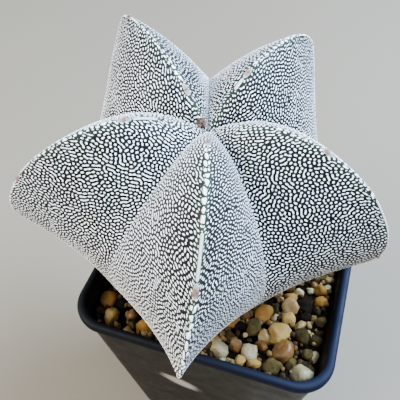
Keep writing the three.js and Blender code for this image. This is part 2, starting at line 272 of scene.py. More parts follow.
# %% Sizes of the pot
POT_SIDE = 75.0
POT_HEIGHT = 80.0
POT_CORNER = 10.0
POT_TAPER = 0.156
POT_WALL = 1.2
RIM_STEP = 0.9
RIM_WIDTH = 2.4
RIM_DEPTH = 3.0
FLOOR_THICKNESS = 1.5
FOOT_HEIGHT = 2.0
CORNER_STEPS = 12
CORNER_TIGHTENING = 0.6
BEAD_STEPS = 4
HALFWAY_UP = 30


def outer_half(z):
    return POT_SIDE / 2 - RIM_STEP - POT_TAPER * (POT_HEIGHT - z)


def inner_half(z):
    return outer_half(z) - POT_WALL


def corner_radius(half):
    return POT_CORNER - (POT_SIDE / 2 - half) * CORNER_TIGHTENING


print("pot foot in mm:", round(2 * outer_half(FOOT_HEIGHT), 1))

# %% Rings of the pot


def smooth_path(knots, steps):
    """Points along a smooth curve through the knots, which are pairs of half width and height."""
    knots = np.array(knots, float)
    padded = np.vstack([2 * knots[0] - knots[1], knots, 2 * knots[-1] - knots[-2]])
    path = []
    for a, b, c, d in zip(padded, padded[1:], padded[2:], padded[3:]):
        for t in np.arange(steps) / steps:
            path.append(0.5 * (2 * b + (c - a) * t + (2 * a - 5 * b + 4 * c - d) * t * t
                               + (3 * b - a - 3 * c + d) * t ** 3))
    return path + [knots[-1]]


def rounded_square(half, z):
    """One ring: four corner arcs joined by straight sides, or a point where half is 0."""
    if half == 0:
        return np.tile([0.0, 0.0, z], (4 * (CORNER_STEPS + 1) + 1, 1))
    corner = corner_radius(half)
    to_corner = (half - corner) * math.sqrt(2)
    ring = []
    for quarter in range(4):
        middle = (quarter + 0.5) * math.pi / 2
        for step in range(CORNER_STEPS + 1):
            angle = (quarter + step / CORNER_STEPS) * math.pi / 2
            ring.append([to_corner * math.cos(middle) + corner * math.cos(angle),
                         to_corner * math.sin(middle) + corner * math.sin(angle), z])
    return np.array(ring + ring[:1])


def rolled_grid(name, rings):
    """A closed piece: a flat grid whose rows are moved to the rings, then merged at its seams."""
    rings = np.array(rings)
    rows, columns = rings.shape[:2]
    piece = add_primitive(bpy.ops.mesh.primitive_grid_add, size=1,
                          x_subdivisions=columns - 1, y_subdivisions=rows - 1)
    piece.name = piece.data.name = name
    piece.location = (0, 0, 0)
    move_points(piece, rings.reshape(-1, 3))
    in_edit_mode(piece, lambda: bpy.ops.mesh.remove_doubles(threshold=0.001 * MM),
                 lambda: bpy.ops.mesh.normals_make_consistent(inside=False))
    return piece


rim = POT_SIDE / 2
bead_foot = POT_HEIGHT - RIM_DEPTH
floor_top = FOOT_HEIGHT + FLOOR_THICKNESS
bead = smooth_path([
    (outer_half(bead_foot), bead_foot), (rim - 0.15, bead_foot + 0.45), (rim, bead_foot + 1.3),
    (rim, POT_HEIGHT - 0.95), (rim - 0.35, POT_HEIGHT - 0.25), (rim - 1.1, POT_HEIGHT),
    (rim - RIM_WIDTH + 0.5, POT_HEIGHT - 0.25), (rim - RIM_WIDTH, POT_HEIGHT - 0.95),
], BEAD_STEPS)
wall_profile = [
    (0, FOOT_HEIGHT), (outer_half(FOOT_HEIGHT) - 1.0, FOOT_HEIGHT),
    (outer_half(FOOT_HEIGHT + 0.3) - 0.3, FOOT_HEIGHT + 0.3),
    (outer_half(FOOT_HEIGHT + 1.0), FOOT_HEIGHT + 1.0), (outer_half(HALFWAY_UP), HALFWAY_UP),
    *bead, (inner_half(bead_foot), bead_foot), (inner_half(HALFWAY_UP), HALFWAY_UP),
    (inner_half(floor_top), floor_top), (0, floor_top),
]
pot = rolled_grid("pot_shell", [rounded_square(*row) for row in wall_profile])
print("pot rim in mm:", round(2 * rim, 1), "rings:", len(wall_profile))

# %% [markdown]
# Under the pot two crossed bars keep the drainage holes off the table. They are joined to the
# shell, and the four holes are cut, with Boolean modifiers. The bars reach a little up into the
# floor of the pot, because two faces that only touch don't join cleanly.

# %% Pot feet and drainage holes
FOOT_WIDTH = 6.0
FOOT_SINK = 0.5
FOOT_LENGTH = 2.6 * (outer_half(FOOT_HEIGHT) - 2.5)
DRAIN_RADIUS = 4.0
DRAIN_OFFSET = 14.0
SMOOTH_BELOW = 38 * DEG


def combine(operation, other):
    """Joins the other piece to the pot, or cuts it out of the pot, and removes it."""
    apply_modifier(pot, "BOOLEAN", operation=operation, object=other, solver="EXACT")
    bpy.data.objects.remove(other)


for turn in (45, -45):
    foot = add_primitive(bpy.ops.mesh.primitive_cube_add, size=1)
    foot.scale = Vector((FOOT_LENGTH, FOOT_WIDTH, FOOT_HEIGHT + FOOT_SINK)) * MM
    foot.location = (0, 0, (FOOT_HEIGHT + FOOT_SINK) / 2 * MM)
    foot.rotation_euler = (0, 0, turn * DEG)
    bpy.ops.object.transform_apply(location=True, rotation=True, scale=True)
    combine("UNION", foot)
for quarter in range(4):
    way = Vector((math.cos(quarter * math.pi / 2), math.sin(quarter * math.pi / 2), 0))
    combine("DIFFERENCE", add_primitive(
        bpy.ops.mesh.primitive_cylinder_add, vertices=32, radius=DRAIN_RADIUS * MM,
        depth=20 * MM, location=DRAIN_OFFSET * MM * way))
pick(pot)
bpy.ops.object.shade_smooth_by_angle(angle=SMOOTH_BELOW)
print("pot faces:", len(pot.data.polygons))

# %% [markdown]
# Recycled polypropylene is nearly black, and satin, because the mould leaves a pebbled skin about
# half a millimetre fine. Handling leaves pale rubbed streaks some 6 mm wide, and splashed soil
# dries as a brown film in patches of 8 mm on the walls, while the rim is wiped clean by every hand
# that lifts it. The walls' dark brown is partly that film and partly a painted warm reflection of
# a wooden table. The rim is painted navy towards the window, a painted reflection of its cool
# light, and near black on the left, painted shade. One pale mark on the front wall is a painted
# highlight: a soft ball of paleness, frayed by noise that is stretched along it.

# %% Pot material: injection moulded polypropylene
# Place, turn and reach of the painted highlight on the front wall, and the stretch of the noise
# that frays it.
PAINTED_HIGHLIGHT_PLACE = (-6.0, -31.4, 46.5)
PAINTED_HIGHLIGHT_TURN = (0, 36 * DEG, 0)
PAINTED_HIGHLIGHT_REACH = (10.5, 5.0, 5.2)
HIGHLIGHT_FRAY_SCALE = (6.0, 1.5, 0.5)
STREAK_SCALE = (0.16, 0.16, 0.08)
pot_plastic, places, shader = new_material("moulded_polypropylene")
streaks = add(pot_plastic, "TexNoise", {
    "Vector": add(pot_plastic, "Mapping", {"Vector": places, "Scale": STREAK_SCALE}),
    "Scale": 1.0, "Detail": 5.0, "Roughness": 0.65})
rubbed = add(pot_plastic, "MapRange", {
    "Value": streaks, "From Min": 0.6, "From Max": 0.85, "To Max": 0.2})
dust = add(pot_plastic, "TexNoise", {
    "Vector": places, "Scale": 0.12, "Detail": 8.0, "Roughness": 0.7})
dusty = add(pot_plastic, "MapRange", {
    "Value": dust, "From Min": 0.45, "From Max": 0.75, "To Max": 0.45})
# The walls' two browns are partly a dried soil film and partly a painted warm reflection of a
# wooden table.
soil_film_and_painted_table_reflection = add(pot_plastic, "Mix", {0: dusty, 6: "#13100c", 7: "#211b14"}, data_type="RGBA")
walls = add(pot_plastic, "Mix", {0: rubbed, 6: soil_film_and_painted_table_reflection, 7: "#2e2a24"}, data_type="RGBA")

# A pale streak on the front wall is a painted highlight: a soft ball of paleness, frayed by
# stretched noise.
on_painted_highlight = add(pot_plastic, "Mapping", {
    "Vector": places, "Location": PAINTED_HIGHLIGHT_PLACE, "Rotation": PAINTED_HIGHLIGHT_TURN, "Scale": PAINTED_HIGHLIGHT_REACH,
}, vector_type="TEXTURE")
painted_highlight_ball = add(pot_plastic, "TexGradient", {"Vector": on_painted_highlight}, gradient_type="SPHERICAL")
along_highlight_fray = add(pot_plastic, "Mapping", {
    "Vector": places, "Rotation": PAINTED_HIGHLIGHT_TURN, "Scale": HIGHLIGHT_FRAY_SCALE}, vector_type="TEXTURE")
highlight_fray = add(pot_plastic, "TexNoise", {
    "Vector": along_highlight_fray, "Scale": 1.0, "Detail": 6.0, "Roughness": 0.7})
frayed_painted_highlight = add(pot_plastic, "Math", {0: painted_highlight_ball.outputs["Fac"], 1: highlight_fray}, operation="ADD")
painted_highlight_share = add(pot_plastic, "MapRange", {
    "Value": frayed_painted_highlight, "From Min": 0.72, "From Max": 1.1, "To Max": 0.75})
walls_with_painted_highlight = add(pot_plastic, "Mix", {0: painted_highlight_share, 6: walls, 7: "#a89c8c"}, data_type="RGBA")

sides = add(pot_plastic, "SeparateXYZ", {"Vector": places})
on_rim = add(pot_plastic, "MapRange", {
    "Value": sides.outputs["Z"], "From Min": bead_foot - 0.6, "From Max": bead_foot + 0.4})
# The rim's colour runs from near black on the left to navy on the window's side. The navy is a
# painted reflection of the window's cool light, and the near black on the left is painted shade.
painted_reflection_toward_window = add(pot_plastic, "MapRange", {
    "Value": sides.outputs["X"], "From Min": -14.0, "From Max": 38.0})
rim_with_painted_reflection = add(pot_plastic, "Mix", {0: painted_reflection_toward_window, 6: "#040507", 7: "#070c1b"}, data_type="RGBA")
coloured = add(pot_plastic, "Mix", {0: on_rim, 6: walls_with_painted_highlight, 7: rim_with_painted_reflection}, data_type="RGBA")
pebbled = add(pot_plastic, "TexNoise", {"Vector": places, "Scale": 2.2, "Detail": 2.0})
bump = add(pot_plastic, "Bump", {"Height": pebbled, "Strength": 0.12, "Distance": 0.06 * MM})
satin = add(pot_plastic, "MapRange", {
    "Value": dust, "From Min": 0.35, "From Max": 0.7, "To Min": 0.34, "To Max": 0.55})
dull = add(pot_plastic, "Math", {0: on_rim, 1: 0.2, 2: satin}, operation="MULTIPLY_ADD")
wire(shader, {"Base Color": coloured, "Roughness": dull, "Normal": bump, "IOR": 1.49,
              "Specular IOR Level": 0.09})
finish_piece(pot, pot_plastic, "pot")

# %% [markdown]
# The growing mix under the gravel shows only through the drainage holes. Its solid stays, with a
# material of dark peat, brown bark and a few pale bits of pumice, in crumbs of about 1.5 mm.

# %% Potting mix material
peat, places, shader = new_material("peat_bark_and_pumice")
lumps = add(peat, "TexVoronoi", {"Vector": places, "Scale": 0.7})
shades = add(peat, "ValToRGB", {"Fac": lumps.outputs["Color"]},
             stops={0: "#17110c", 0.55: "#2c2017", 0.86: "#49321f", 1: "#8f8474"})
crumbs = add(peat, "Bump", {"Height": lumps, "Strength": 0.8, "Distance": 0.6 * MM})
wire(shader, {"Base Color": shades, "Normal": crumbs, "Roughness": 0.95})
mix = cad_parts["potting_mix"]
mix.data.materials.clear()
mix.data.materials.append(peat)

# %% [markdown]
# ## The gravel
#
# The top dressing is crushed quartz, sandstone and lava, sieved to a few millimetres. Each grain
# was broken and then worn, so it has flat faces with soft edges. A few master grains are cut from
# a ball with the bisect tool, as a stone is chipped, softened, and pitted with a Displace
# modifier. The grains are copies of them, turned and sized by the same seeded draws that placed
# them in the frame.

# %% Master grains
MASTER_COUNT = 7
MASTER_SEED = 41
MASTER_VOXEL = 0.09
CHIP_DEEPEST = 0.6
CHIP_RANGE = 0.3
PIT_SIZE = 0.45
PIT_DEPTH = 0.22
STONE_FACES = 380
CHIPS = (9, 12, 15)
GRIT_MASTERS = 3
GRIT_MASTER_SEED = 61
GRIT_FACES = 44


def seeded_numbers(seed):
    """Even numbers between 0 and 1 that are the same each time."""
    state = seed
    while True:
        state = state * 48271 % 2147483647
        yield state / 2147483647


def clouds(name, size):
    """A cloudy texture for a Displace modifier."""
    texture = bpy.data.textures.new(name, "CLOUDS")
    texture.noise_scale = size
    return texture


def chipped_ball(seed, cuts, faces):
    """Points and faces of a ball of radius 1 with flat chips cut from it."""
    draw = seeded_numbers(seed)

    def chip():
        height = 2 * next(draw) - 1
        around = next(draw) * TURN
        flat = math.sqrt(1 - height * height)
        facing = Vector((flat * math.cos(around), flat * math.sin(around), height))
        bpy.ops.mesh.bisect(plane_co=facing * (CHIP_DEEPEST + CHIP_RANGE * next(draw)),
                            plane_no=facing, use_fill=True, clear_outer=True)

    ball = add_primitive(bpy.ops.mesh.primitive_ico_sphere_add, subdivisions=4, radius=1)
    in_edit_mode(ball, *[chip] * cuts)
    apply_modifier(ball, "REMESH", mode="VOXEL", voxel_size=MASTER_VOXEL)
    apply_modifier(ball, "SMOOTH", factor=0.5, iterations=2)
    apply_modifier(ball, "DISPLACE", texture=clouds("pits", PIT_SIZE), strength=PIT_DEPTH,
                   mid_level=0.5)
    apply_modifier(ball, "DECIMATE", ratio=faces / (2 * len(ball.data.polygons)))
    apply_modifier(ball, "TRIANGULATE")
    points, corners = taken_apart(ball)
    return points / np.abs(points).max(), corners


masters = [chipped_ball(MASTER_SEED + i, CHIPS[i % len(CHIPS)], STONE_FACES)
           for i in range(MASTER_COUNT)]
grit_masters = [chipped_ball(GRIT_MASTER_SEED + i, CHIPS[0], GRIT_FACES)
                for i in range(GRIT_MASTERS)]
print("faces of the masters:", [len(faces) for _, faces in masters + grit_masters])

# %% [markdown]
# The stones that can be seen from the front are placed one by one, each with its kind. A kind
# names the rock and the grain's own shade in it. The others are scattered one after another, and
# one that would lie too near an earlier one, the wall or the stem is left out. The draws are made
# in the same order as for the frame's plain stones, so each finer stone lies where its plain one
# does.

# %% Stones placed one by one
KINDS = {
    "white": ("quartz", 0.1), "cream": ("quartz", 0.55), "pink": ("quartz", 0.9),
    "rust": ("sandstone", 0.15), "amber": ("sandstone", 0.45), "honey": ("sandstone", 0.85),
    "black": ("lava", 0.05), "brown": ("lava", 0.72), "grey": ("lava", 0.9),
}
PLACED_STONES = [
    (29.7, -28.6, 2.9, "white"), (23.1, -23.9, 3.0, "pink"), (17.8, -21.1, 2.4, "cream"),
    (21.2, -19.0, 3.3, "honey"), (22.6, -13.0, 2.4, "honey"), (22.4, -9.1, 2.7, "cream"),
    (26.6, -13.8, 1.8, "cream"), (15.4, -13.5, 2.7, "amber"), (13.7, -18.7, 2.3, "grey"),
    (9.7, -26.0, 2.1, "pink"), (6.4, -29.0, 2.7, "white"), (14.6, -27.0, 2.8, "white"),
    (12.6, -30.2, 1.7, "honey"), (16.2, -30.0, 1.9, "honey"), (7.8, -32.0, 1.7, "white"),
    (10.9, -32.3, 1.4, "white"), (21.2, -29.3, 2.9, "grey"), (24.7, -31.2, 1.4, "brown"),
    (17.1, -24.0, 1.9, "rust"), (30.3, -22.6, 1.8, "grey"), (32.2, -22.6, 1.5, "white"),
    (30.2, -0.2, 2.0, "amber"), (31.2, -4.4, 2.0, "amber"), (26.8, -6.6, 2.7, "black"),
    (27.6, -11.0, 1.9, "black"), (32.2, 1.5, 1.5, "white"), (27.0, -0.9, 1.2, "white"),
    (23.9, -3.0, 1.5, "white"), (28.4, 1.5, 1.4, "pink"), (31.8, -11.0, 1.9, "grey"),
    (27.7, -17.9, 2.4, "brown"), (26.1, -21.7, 1.4, "rust"), (31.7, -17.6, 2.0, "brown"),
    (32.1, 5.1, 1.6, "cream"), (17.8, -15.9, 1.2, "pink"), (18.8, -13.5, 1.2, "white"),
    (18.4, -10.4, 1.5, "brown"), (26.3, -26.7, 1.7, "grey"), (31.5, -26.4, 1.4, "brown"),
    (9.5, -20.0, 1.8, "black"), (7.4, -23.4, 1.7, "brown"), (-31.4, -23.3, 2.3, "amber"),
    (-28.1, -28.7, 2.5, "honey"), (-21.3, -31.8, 1.7, "cream"), (-16.4, -29.1, 2.9, "amber"),
    (-22.3, -26.5, 1.8, "pink"), (-27.0, -23.6, 2.0, "black"),
]
print("stones placed by hand:", len(PLACED_STONES))

# %% Scatter the other stones
HEART = np.array([-7.1, 0.7, POT_HEIGHT + 22.7])
NECK_RADIUS = 15.0
BED_TOP = POT_HEIGHT - 9.5
STONE_COUNT = 150
STONE_TRIES = 9000
STONE_SEED = 2718
KIND_SEED = 5
STONE_SMALL = 1.5
STONE_LARGE = 3.6
STONE_SPACING = 0.72
STONE_SEAT = (0.15, 0.5)
SMALL_ONES = 1.6


def room_to_wall(x, y):
    """The distance from a place on the bed to the wall round it."""
    half = inner_half(BED_TOP)
    corner = corner_radius(half)
    past = (abs(x) - (half - corner), abs(y) - (half - corner))
    in_corner = math.hypot(max(past[0], 0), max(past[1], 0))
    return corner - in_corner - min(max(past), 0)


def scatter_stones():
    """Each stone has its middle, half size, three turns and kind."""
    draw, pick_kind = seeded_numbers(STONE_SEED), seeded_numbers(KIND_SEED)
    reach = inner_half(BED_TOP)
    stones = []

    def lay(x, y, half, kind):
        tumble = [next(draw) * TURN for _ in range(3)]
        seat = STONE_SEAT[0] + STONE_SEAT[1] * next(draw)
        stones.append((x, y, BED_TOP + half * seat, half, tumble, kind))

    for x, y, half, kind in PLACED_STONES:
        lay(x, y, half, kind)
    for _ in range(STONE_TRIES):
        if len(stones) == STONE_COUNT:
            break
        half = STONE_SMALL + (STONE_LARGE - STONE_SMALL) * next(draw) ** SMALL_ONES
        x, y = [(2 * next(draw) - 1) * reach for _ in range(2)]
        clear = all(math.hypot(x - other[0], y - other[1]) > (half + other[3]) * STONE_SPACING
                    for other in stones)
        from_stem = math.hypot(x - HEART[0], y - HEART[1])
        if clear and from_stem > NECK_RADIUS + half and room_to_wall(x, y) > half:
            lay(x, y, half, list(KINDS)[int(next(pick_kind) * len(KINDS))])
    return stones


stones = scatter_stones()
print("stones:", len(stones), "sizes in mm:", round(2 * min(s[3] for s in stones), 1), "to",
      round(2 * max(s[3] for s in stones), 1))

# %% [markdown]
# Fine grit lies between the stones, and under them is an even bed. The bed is a ring round the
# plant's neck with a crumbly top. Grains of one kind are gathered in one piece.

# %% Grit and bed
GRIT_COUNT = 620
GRIT_SEED = 88
GRIT_SMALL = 0.5
GRIT_RANGE = 0.9
GRIT_SEAT = (0.3, 0.7)
GRIT_SHAPE = [1.1, 0.9, 0.8]
STONE_SHAPE = [1.3, 1.2, 1.0]
GAP = 0.3
MIX_TOP = POT_HEIGHT - 16
BED_STEPS = 26
CRUMBLE = 0.25
GOLDEN = 0.618034


def turned(points, tumble):
    """Points turned about X, then Y, then Z."""
    turn = (Matrix.Rotation(tumble[2], 3, "Z") @ Matrix.Rotation(tumble[1], 3, "Y")
            @ Matrix.Rotation(tumble[0], 3, "X"))
    return points @ np.array(turn).T


def gathered(name, grains, own_shades=None):
    """One piece from many grains, each given as its points and faces. It also stores one number
    for each grain, from which the material takes the grain's own shade."""
    points, faces, shades, first = [], [], [], 0
    for number, (places, corners) in enumerate(grains):
        points.append(places)
        faces.append(corners + first)
        shade = own_shades[number] if own_shades else (number * GOLDEN) % 1
        shades.append(np.full(len(places), shade))
        first += len(places)
    piece = mesh_piece(name, np.concatenate(points), np.concatenate(faces))
    store(piece, "grain_shade", np.concatenate(shades))
    return piece


def make_grit():
    draw = seeded_numbers(GRIT_SEED)
    reach = inner_half(BED_TOP) - 1.0
    grains = []
    while len(grains) < GRIT_COUNT:
        x, y = [(2 * next(draw) - 1) * reach for _ in range(2)]
        half = GRIT_SMALL + GRIT_RANGE * next(draw)
        tumble = [next(draw) * TURN for _ in range(3)]
        if math.hypot(x - HEART[0], y - HEART[1]) > NECK_RADIUS:
            points, corners = grit_masters[len(grains) % GRIT_MASTERS]
            grains.append((turned(points * GRIT_SHAPE * half, tumble)
                           + [x, y, BED_TOP + GRIT_SEAT[0] + GRIT_SEAT[1] * half], corners))
    return grains


def bed_rings():
    """From the outer foot up, over the top to the neck's hole, and down again."""
    outer_low = rounded_square(inner_half(MIX_TOP + GAP) - GAP, MIX_TOP + GAP)
    outer_top = rounded_square(inner_half(BED_TOP) - GAP, BED_TOP)
    sides = len(outer_top)
    hole = NECK_RADIUS + GAP
    angles = np.arctan2(outer_top[:, 1] - HEART[1], outer_top[:, 0] - HEART[0])
    inner = np.stack([HEART[0] + hole * np.cos(angles), HEART[1] + hole * np.sin(angles),
                      np.full(sides, BED_TOP)], 1)
    lumps = np.random.default_rng(GRIT_SEED).normal(0, CRUMBLE, (BED_STEPS + 1, sides))
    lumps[:, -1] = lumps[:, 0]
    lumps[[0, BED_STEPS]] = 0
    rings = [outer_low]
    for step in range(BED_STEPS + 1):
        ring = outer_top + (inner - outer_top) * step / BED_STEPS
        ring[:, 2] += lumps[step]
        rings.append(ring)
    inner_low = inner.copy()
    inner_low[:, 2] = MIX_TOP + GAP
    return rings + [inner_low, outer_low]


bed = rolled_grid("gravel_bed", bed_rings())
grit = gathered("gravel_grit", make_grit())
print("grains of grit:", GRIT_COUNT)

# %% [markdown]
# Three kinds of stone lie mixed: milky quartz from white to cream, sandstone from yellow to rust,
# and dark lava. Each is broken stone with a matt face, so its colour comes from a ramp that gives
# each grain its own shade, with mottling about 2 mm wide, dirt specks of a third of a millimetre,
# and chipped facets of 1 mm. Quartz is the glossiest, and lava swallows nearly all light. All the
# ramps are painted far darker than these stones are, as painted shade of the plant above them, and
# the bed between the stones is coloured nearly black, as painted shade in the gaps.

# %% Stone materials


def stone_material(name, stops, roughness, dirtiness, shine):
    """Broken stone: one shade a grain from the ramp, mottled, with a rough broken face."""
    material, places, shader = new_material(name)
    own = add(material, "Attribute", attribute_name="grain_shade").outputs["Fac"]
    mottle = add(material, "TexNoise", {
        "Vector": places, "Scale": 0.55, "Detail": 6.0, "Roughness": 0.7})
    spread = add(material, "Math", {0: mottle, 1: 0.8, 2: -0.4}, operation="MULTIPLY_ADD")
    mixed = add(material, "Math", {0: own, 1: spread}, operation="ADD", use_clamp=True)
    ramp = add(material, "ValToRGB", {"Fac": mixed}, stops=stops)
    specks = add(material, "TexNoise", {"Vector": places, "Scale": 3.5, "Detail": 3.0})
    dirt = add(material, "MapRange", {
        "Value": specks, "From Min": 0.5, "From Max": 0.78, "To Max": dirtiness})
    colour = add(material, "Mix", {0: dirt, 6: ramp, 7: "#38250f"}, data_type="RGBA")
    chips = add(material, "TexVoronoi", {"Vector": places, "Scale": 0.9})
    faceted = add(material, "Bump", {"Height": chips, "Strength": 0.35, "Distance": 0.3 * MM})
    grainy = add(material, "Bump", {
        "Height": specks, "Strength": 0.4, "Distance": 0.12 * MM, "Normal": faceted})
    wire(shader, {"Base Color": colour, "Normal": grainy, "Roughness": roughness,
                  "Specular IOR Level": shine})
    return material


# All three ramps are far darker than the stones' own colours: painted shade of the plant that
# overhangs the gravel.
ROCKS = {
    "quartz": stone_material("milky_quartz", {
        0: "#7a7254", 0.35: "#74603a", 0.7: "#65471c", 1: "#4d3015"}, 0.45, 0.45, 0.25),
    "sandstone": stone_material("iron_stained_sandstone", {
        0: "#33190a", 0.3: "#5f3b0e", 0.65: "#7d591b", 1: "#7f6839"}, 0.7, 0.4, 0.15),
    "lava": stone_material("dark_lava", {
        0: "#060402", 0.35: "#120d05", 0.7: "#241c0c", 1: "#40351a"}, 0.85, 0.3, 0.04),
}
# The bed is real, but its near-black colour is painted shade in the gaps between the stones.
bed_with_painted_shade = stone_material("crumbled_bed_with_painted_shade", {
    0: "#080502", 0.5: "#160e05", 1: "#2c1e0e"}, 0.9, 0.5, 0.04)
fines = stone_material("mixed_grit", {
    0: "#120b04", 0.35: "#2e1f0d", 0.7: "#5a4421", 1: "#7d6a42"}, 0.8, 0.4, 0.1)

# %% Stone pieces


def stone_grain(number):
    """The points and faces of one stone, a copy of a master at its size, turn and place."""
    x, y, z, half, tumble, _ = stones[number]
    points, corners = masters[number % MASTER_COUNT]
    return turned(points * STONE_SHAPE * half, tumble) + [x, y, z], corners


for rock, material in ROCKS.items():
    chosen = [i for i, stone in enumerate(stones) if KINDS[stone[5]][0] == rock]
    piece = gathered("gravel_" + rock, [stone_grain(i) for i in chosen],
                     [KINDS[stones[i][5]][1] for i in chosen])
    finish_piece(piece, material, "gravel")
finish_piece(grit, fines, "gravel")
finish_piece(bed, bed_with_painted_shade, "gravel")

# %% [markdown]
# ## The cactus body
#
# The body is a star: five ribs, each with a sharp crest, and five deep furrows. Both lines are
# curves in polar coordinates about the heart of the plant, and a flank is the swelling surface
# between a crest and a furrow. The ribs differ in size, lean and foot, as grown ribs do.

# %% Curves of the body
LEAN = 1.4 * DEG
KNOTS = np.radians([0, 14, 30, 50, 70, 90, 110, 130])
CREST_REACH = np.array([23.3, 30.1, 39.5, 48.7, 55.0, 56.5, 44.2, 31.1])
FURROW_REACH = np.array([23.3, 25.4, 27.8, 30.3, 33.6, 37.2, 36.6, 24.5])
RIBS = [
    {"name": "front", "azimuth": -71.4, "sweep": -7.6, "size": 0.996, "foot": -0.116,
     "pinch": -0.018, "keel": 0.032, "cell": 0.212},
    {"name": "right", "azimuth": -7.4, "sweep": 0.2, "size": 0.88, "foot": -0.003,
     "pinch": 0, "keel": 0, "cell": 0.222},
    {"name": "back_right", "azimuth": 63.4, "sweep": 11.9, "size": 1.05, "foot": -0.01,
     "pinch": 0, "keel": 0, "cell": 0.258},
    {"name": "back_left", "azimuth": 145.2, "sweep": -17.7, "size": 1.136, "foot": 0.014,
     "pinch": 0, "keel": 0, "cell": 0.26},
    {"name": "left", "azimuth": 216.4, "sweep": -11.6, "size": 0.942, "foot": 0.033,
     "pinch": 0, "keel": 0, "cell": 0.212},
]
FURROWS = [(-5.0, 0.002), (1.7, -0.018), (3.0, -0.009), (2.0, 0.03), (0.8, 0.015)]
FULL_RIB_ANGLE = 60 * DEG
FOOT_ANGLE = 50 * DEG
FOOT_SPAN = 80 * DEG


def unit(vectors):
    return vectors / np.maximum(np.linalg.norm(vectors, axis=-1, keepdims=True), 1e-12)


def lengths(vectors):
    return np.linalg.norm(vectors, axis=-1)


def eased(t):
    """Rises gently from 0 to 1."""
    return t * t * (3 - 2 * t)


def furrows_beside(number):
    """The furrows on the two sides of a rib."""
    return (number - 1) % len(RIBS), number


def curve_through(values, polar):
    """A smooth curve through values at the knots."""
    slopes = np.empty(len(values))
    slopes[1:-1] = (values[2:] - values[:-2]) / (KNOTS[2:] - KNOTS[:-2])
    slopes[0] = (values[1] - values[0]) / (KNOTS[1] - KNOTS[0])
    slopes[-1] = (values[-1] - values[-2]) / (KNOTS[-1] - KNOTS[-2])
    i = np.clip(np.searchsorted(KNOTS, polar, side="right") - 1, 0, len(KNOTS) - 2)
    span = KNOTS[i + 1] - KNOTS[i]
    t = (polar - KNOTS[i]) / span
    return ((1 + 2 * t) * (1 - t) ** 2 * values[i] + t * (1 - t) ** 2 * span * slopes[i]
            + eased(t) * values[i + 1] + t * t * (t - 1) * span * slopes[i + 1])


def growth(polar):
    return np.sin(np.minimum(polar / FULL_RIB_ANGLE, 1) * math.pi / 2)


def scale_at(polar, size, foot):
    """A rib's own size works fully at its side, and its own foot only low down."""
    return 1 + (size - 1) * growth(polar) + foot * (np.maximum(polar - FOOT_ANGLE, 0)
                                                    / FOOT_SPAN) ** 2


def from_heart(polar, azimuth, reach):
    return np.stack([np.sin(polar) * np.cos(azimuth), np.sin(polar) * np.sin(azimuth),
                     np.cos(polar)], -1) * reach[..., None]


def crest_azimuth(rib, polar):
    return (RIBS[rib]["azimuth"] + RIBS[rib]["sweep"] * (polar / (math.pi / 2)) ** 2) * DEG


def crest_line(rib, polar):
    scale = scale_at(polar, RIBS[rib]["size"], RIBS[rib]["foot"])
    return from_heart(polar, crest_azimuth(rib, polar), curve_through(CREST_REACH, polar) * scale)


def furrow_line(furrow, polar):
    """The line halfway between two crests, a little shifted and deepened."""
    after = (furrow + 1) % len(RIBS)
    wrap = TURN if after == 0 else 0
    shift, depth = FURROWS[furrow]
    azimuth = ((crest_azimuth(furrow, polar) + crest_azimuth(after, polar) + wrap) / 2
               + shift * DEG * growth(polar))
    size, foot = [(RIBS[furrow][key] + RIBS[after][key]) / 2 for key in ("size", "foot")]
    reach = (curve_through(FURROW_REACH, polar) * scale_at(polar, size, foot)
             * (1 + depth * growth(polar)))
    return from_heart(polar, azimuth, reach)


print("crest reach in mm, at the side:", [round(float(lengths(crest_line(r, KNOTS[5]))), 1)
                                          for r in range(len(RIBS))])

# %% [markdown]
# A flank swells out between its crest and its furrow, and the front rib is drawn in beside its
# crest like a keel. The crest itself is no knife edge: its last millimetre is rounded off.

# %% Flanks
FLANK_SWELL = (0.12, -0.07)
KEEL_FROM = 60 * DEG
KEEL_FULL = 95 * DEG
CREST_ROUND = 1.0
CREST_ROUND_SHARE = 0.3


def flank_frame(crest, furrow, polar):
    """For each polar angle: the crest point, the way across to the furrow, and outwards."""
    top = crest_line(crest, polar)
    across = furrow_line(furrow, polar) - top
    lower = np.minimum(polar + 0.5 * DEG, KNOTS[-1])
    upper = np.maximum(polar - 0.5 * DEG, 0)
    along = (crest_line(crest, lower) + furrow_line(furrow, lower)
             - crest_line(crest, upper) - furrow_line(furrow, upper))
    outward = unit(np.cross(along, across))
    outward *= np.where(np.sum(outward * top, -1, keepdims=True) < 0, -1, 1)
    return top, across, outward


def swell_at(number, polar, share):
    """How strongly a flank stands out: drawn in beside a keeled crest, fuller by the furrow."""
    low = eased(np.clip((polar - KEEL_FROM) / (KEEL_FULL - KEEL_FROM), 0, 1))
    even = FLANK_SWELL[0] + (FLANK_SWELL[1] - FLANK_SWELL[0]) * polar / KNOTS[-1]
    return even + low * (RIBS[number]["pinch"] - RIBS[number]["keel"] * (1 - 2 * share))


def crest_rounding(number, polar):
    """The way into the body at a crest, and how sharp the corner is there."""
    ways = []
    for furrow in furrows_beside(number):
        _, across, outward = flank_frame(number, furrow, polar)
        rise = 4 * swell_at(number, polar, 0)[:, None] * lengths(across)[:, None]
        ways.append(unit(across + rise * outward))
    both = ways[0] + ways[1]
    return unit(both), lengths(both) / 2


def into_pot(points):
    """From the heart's own axes to the object's: the plant leans a little."""
    return points @ np.array(Matrix.Rotation(LEAN, 3, "X")).T + HEART


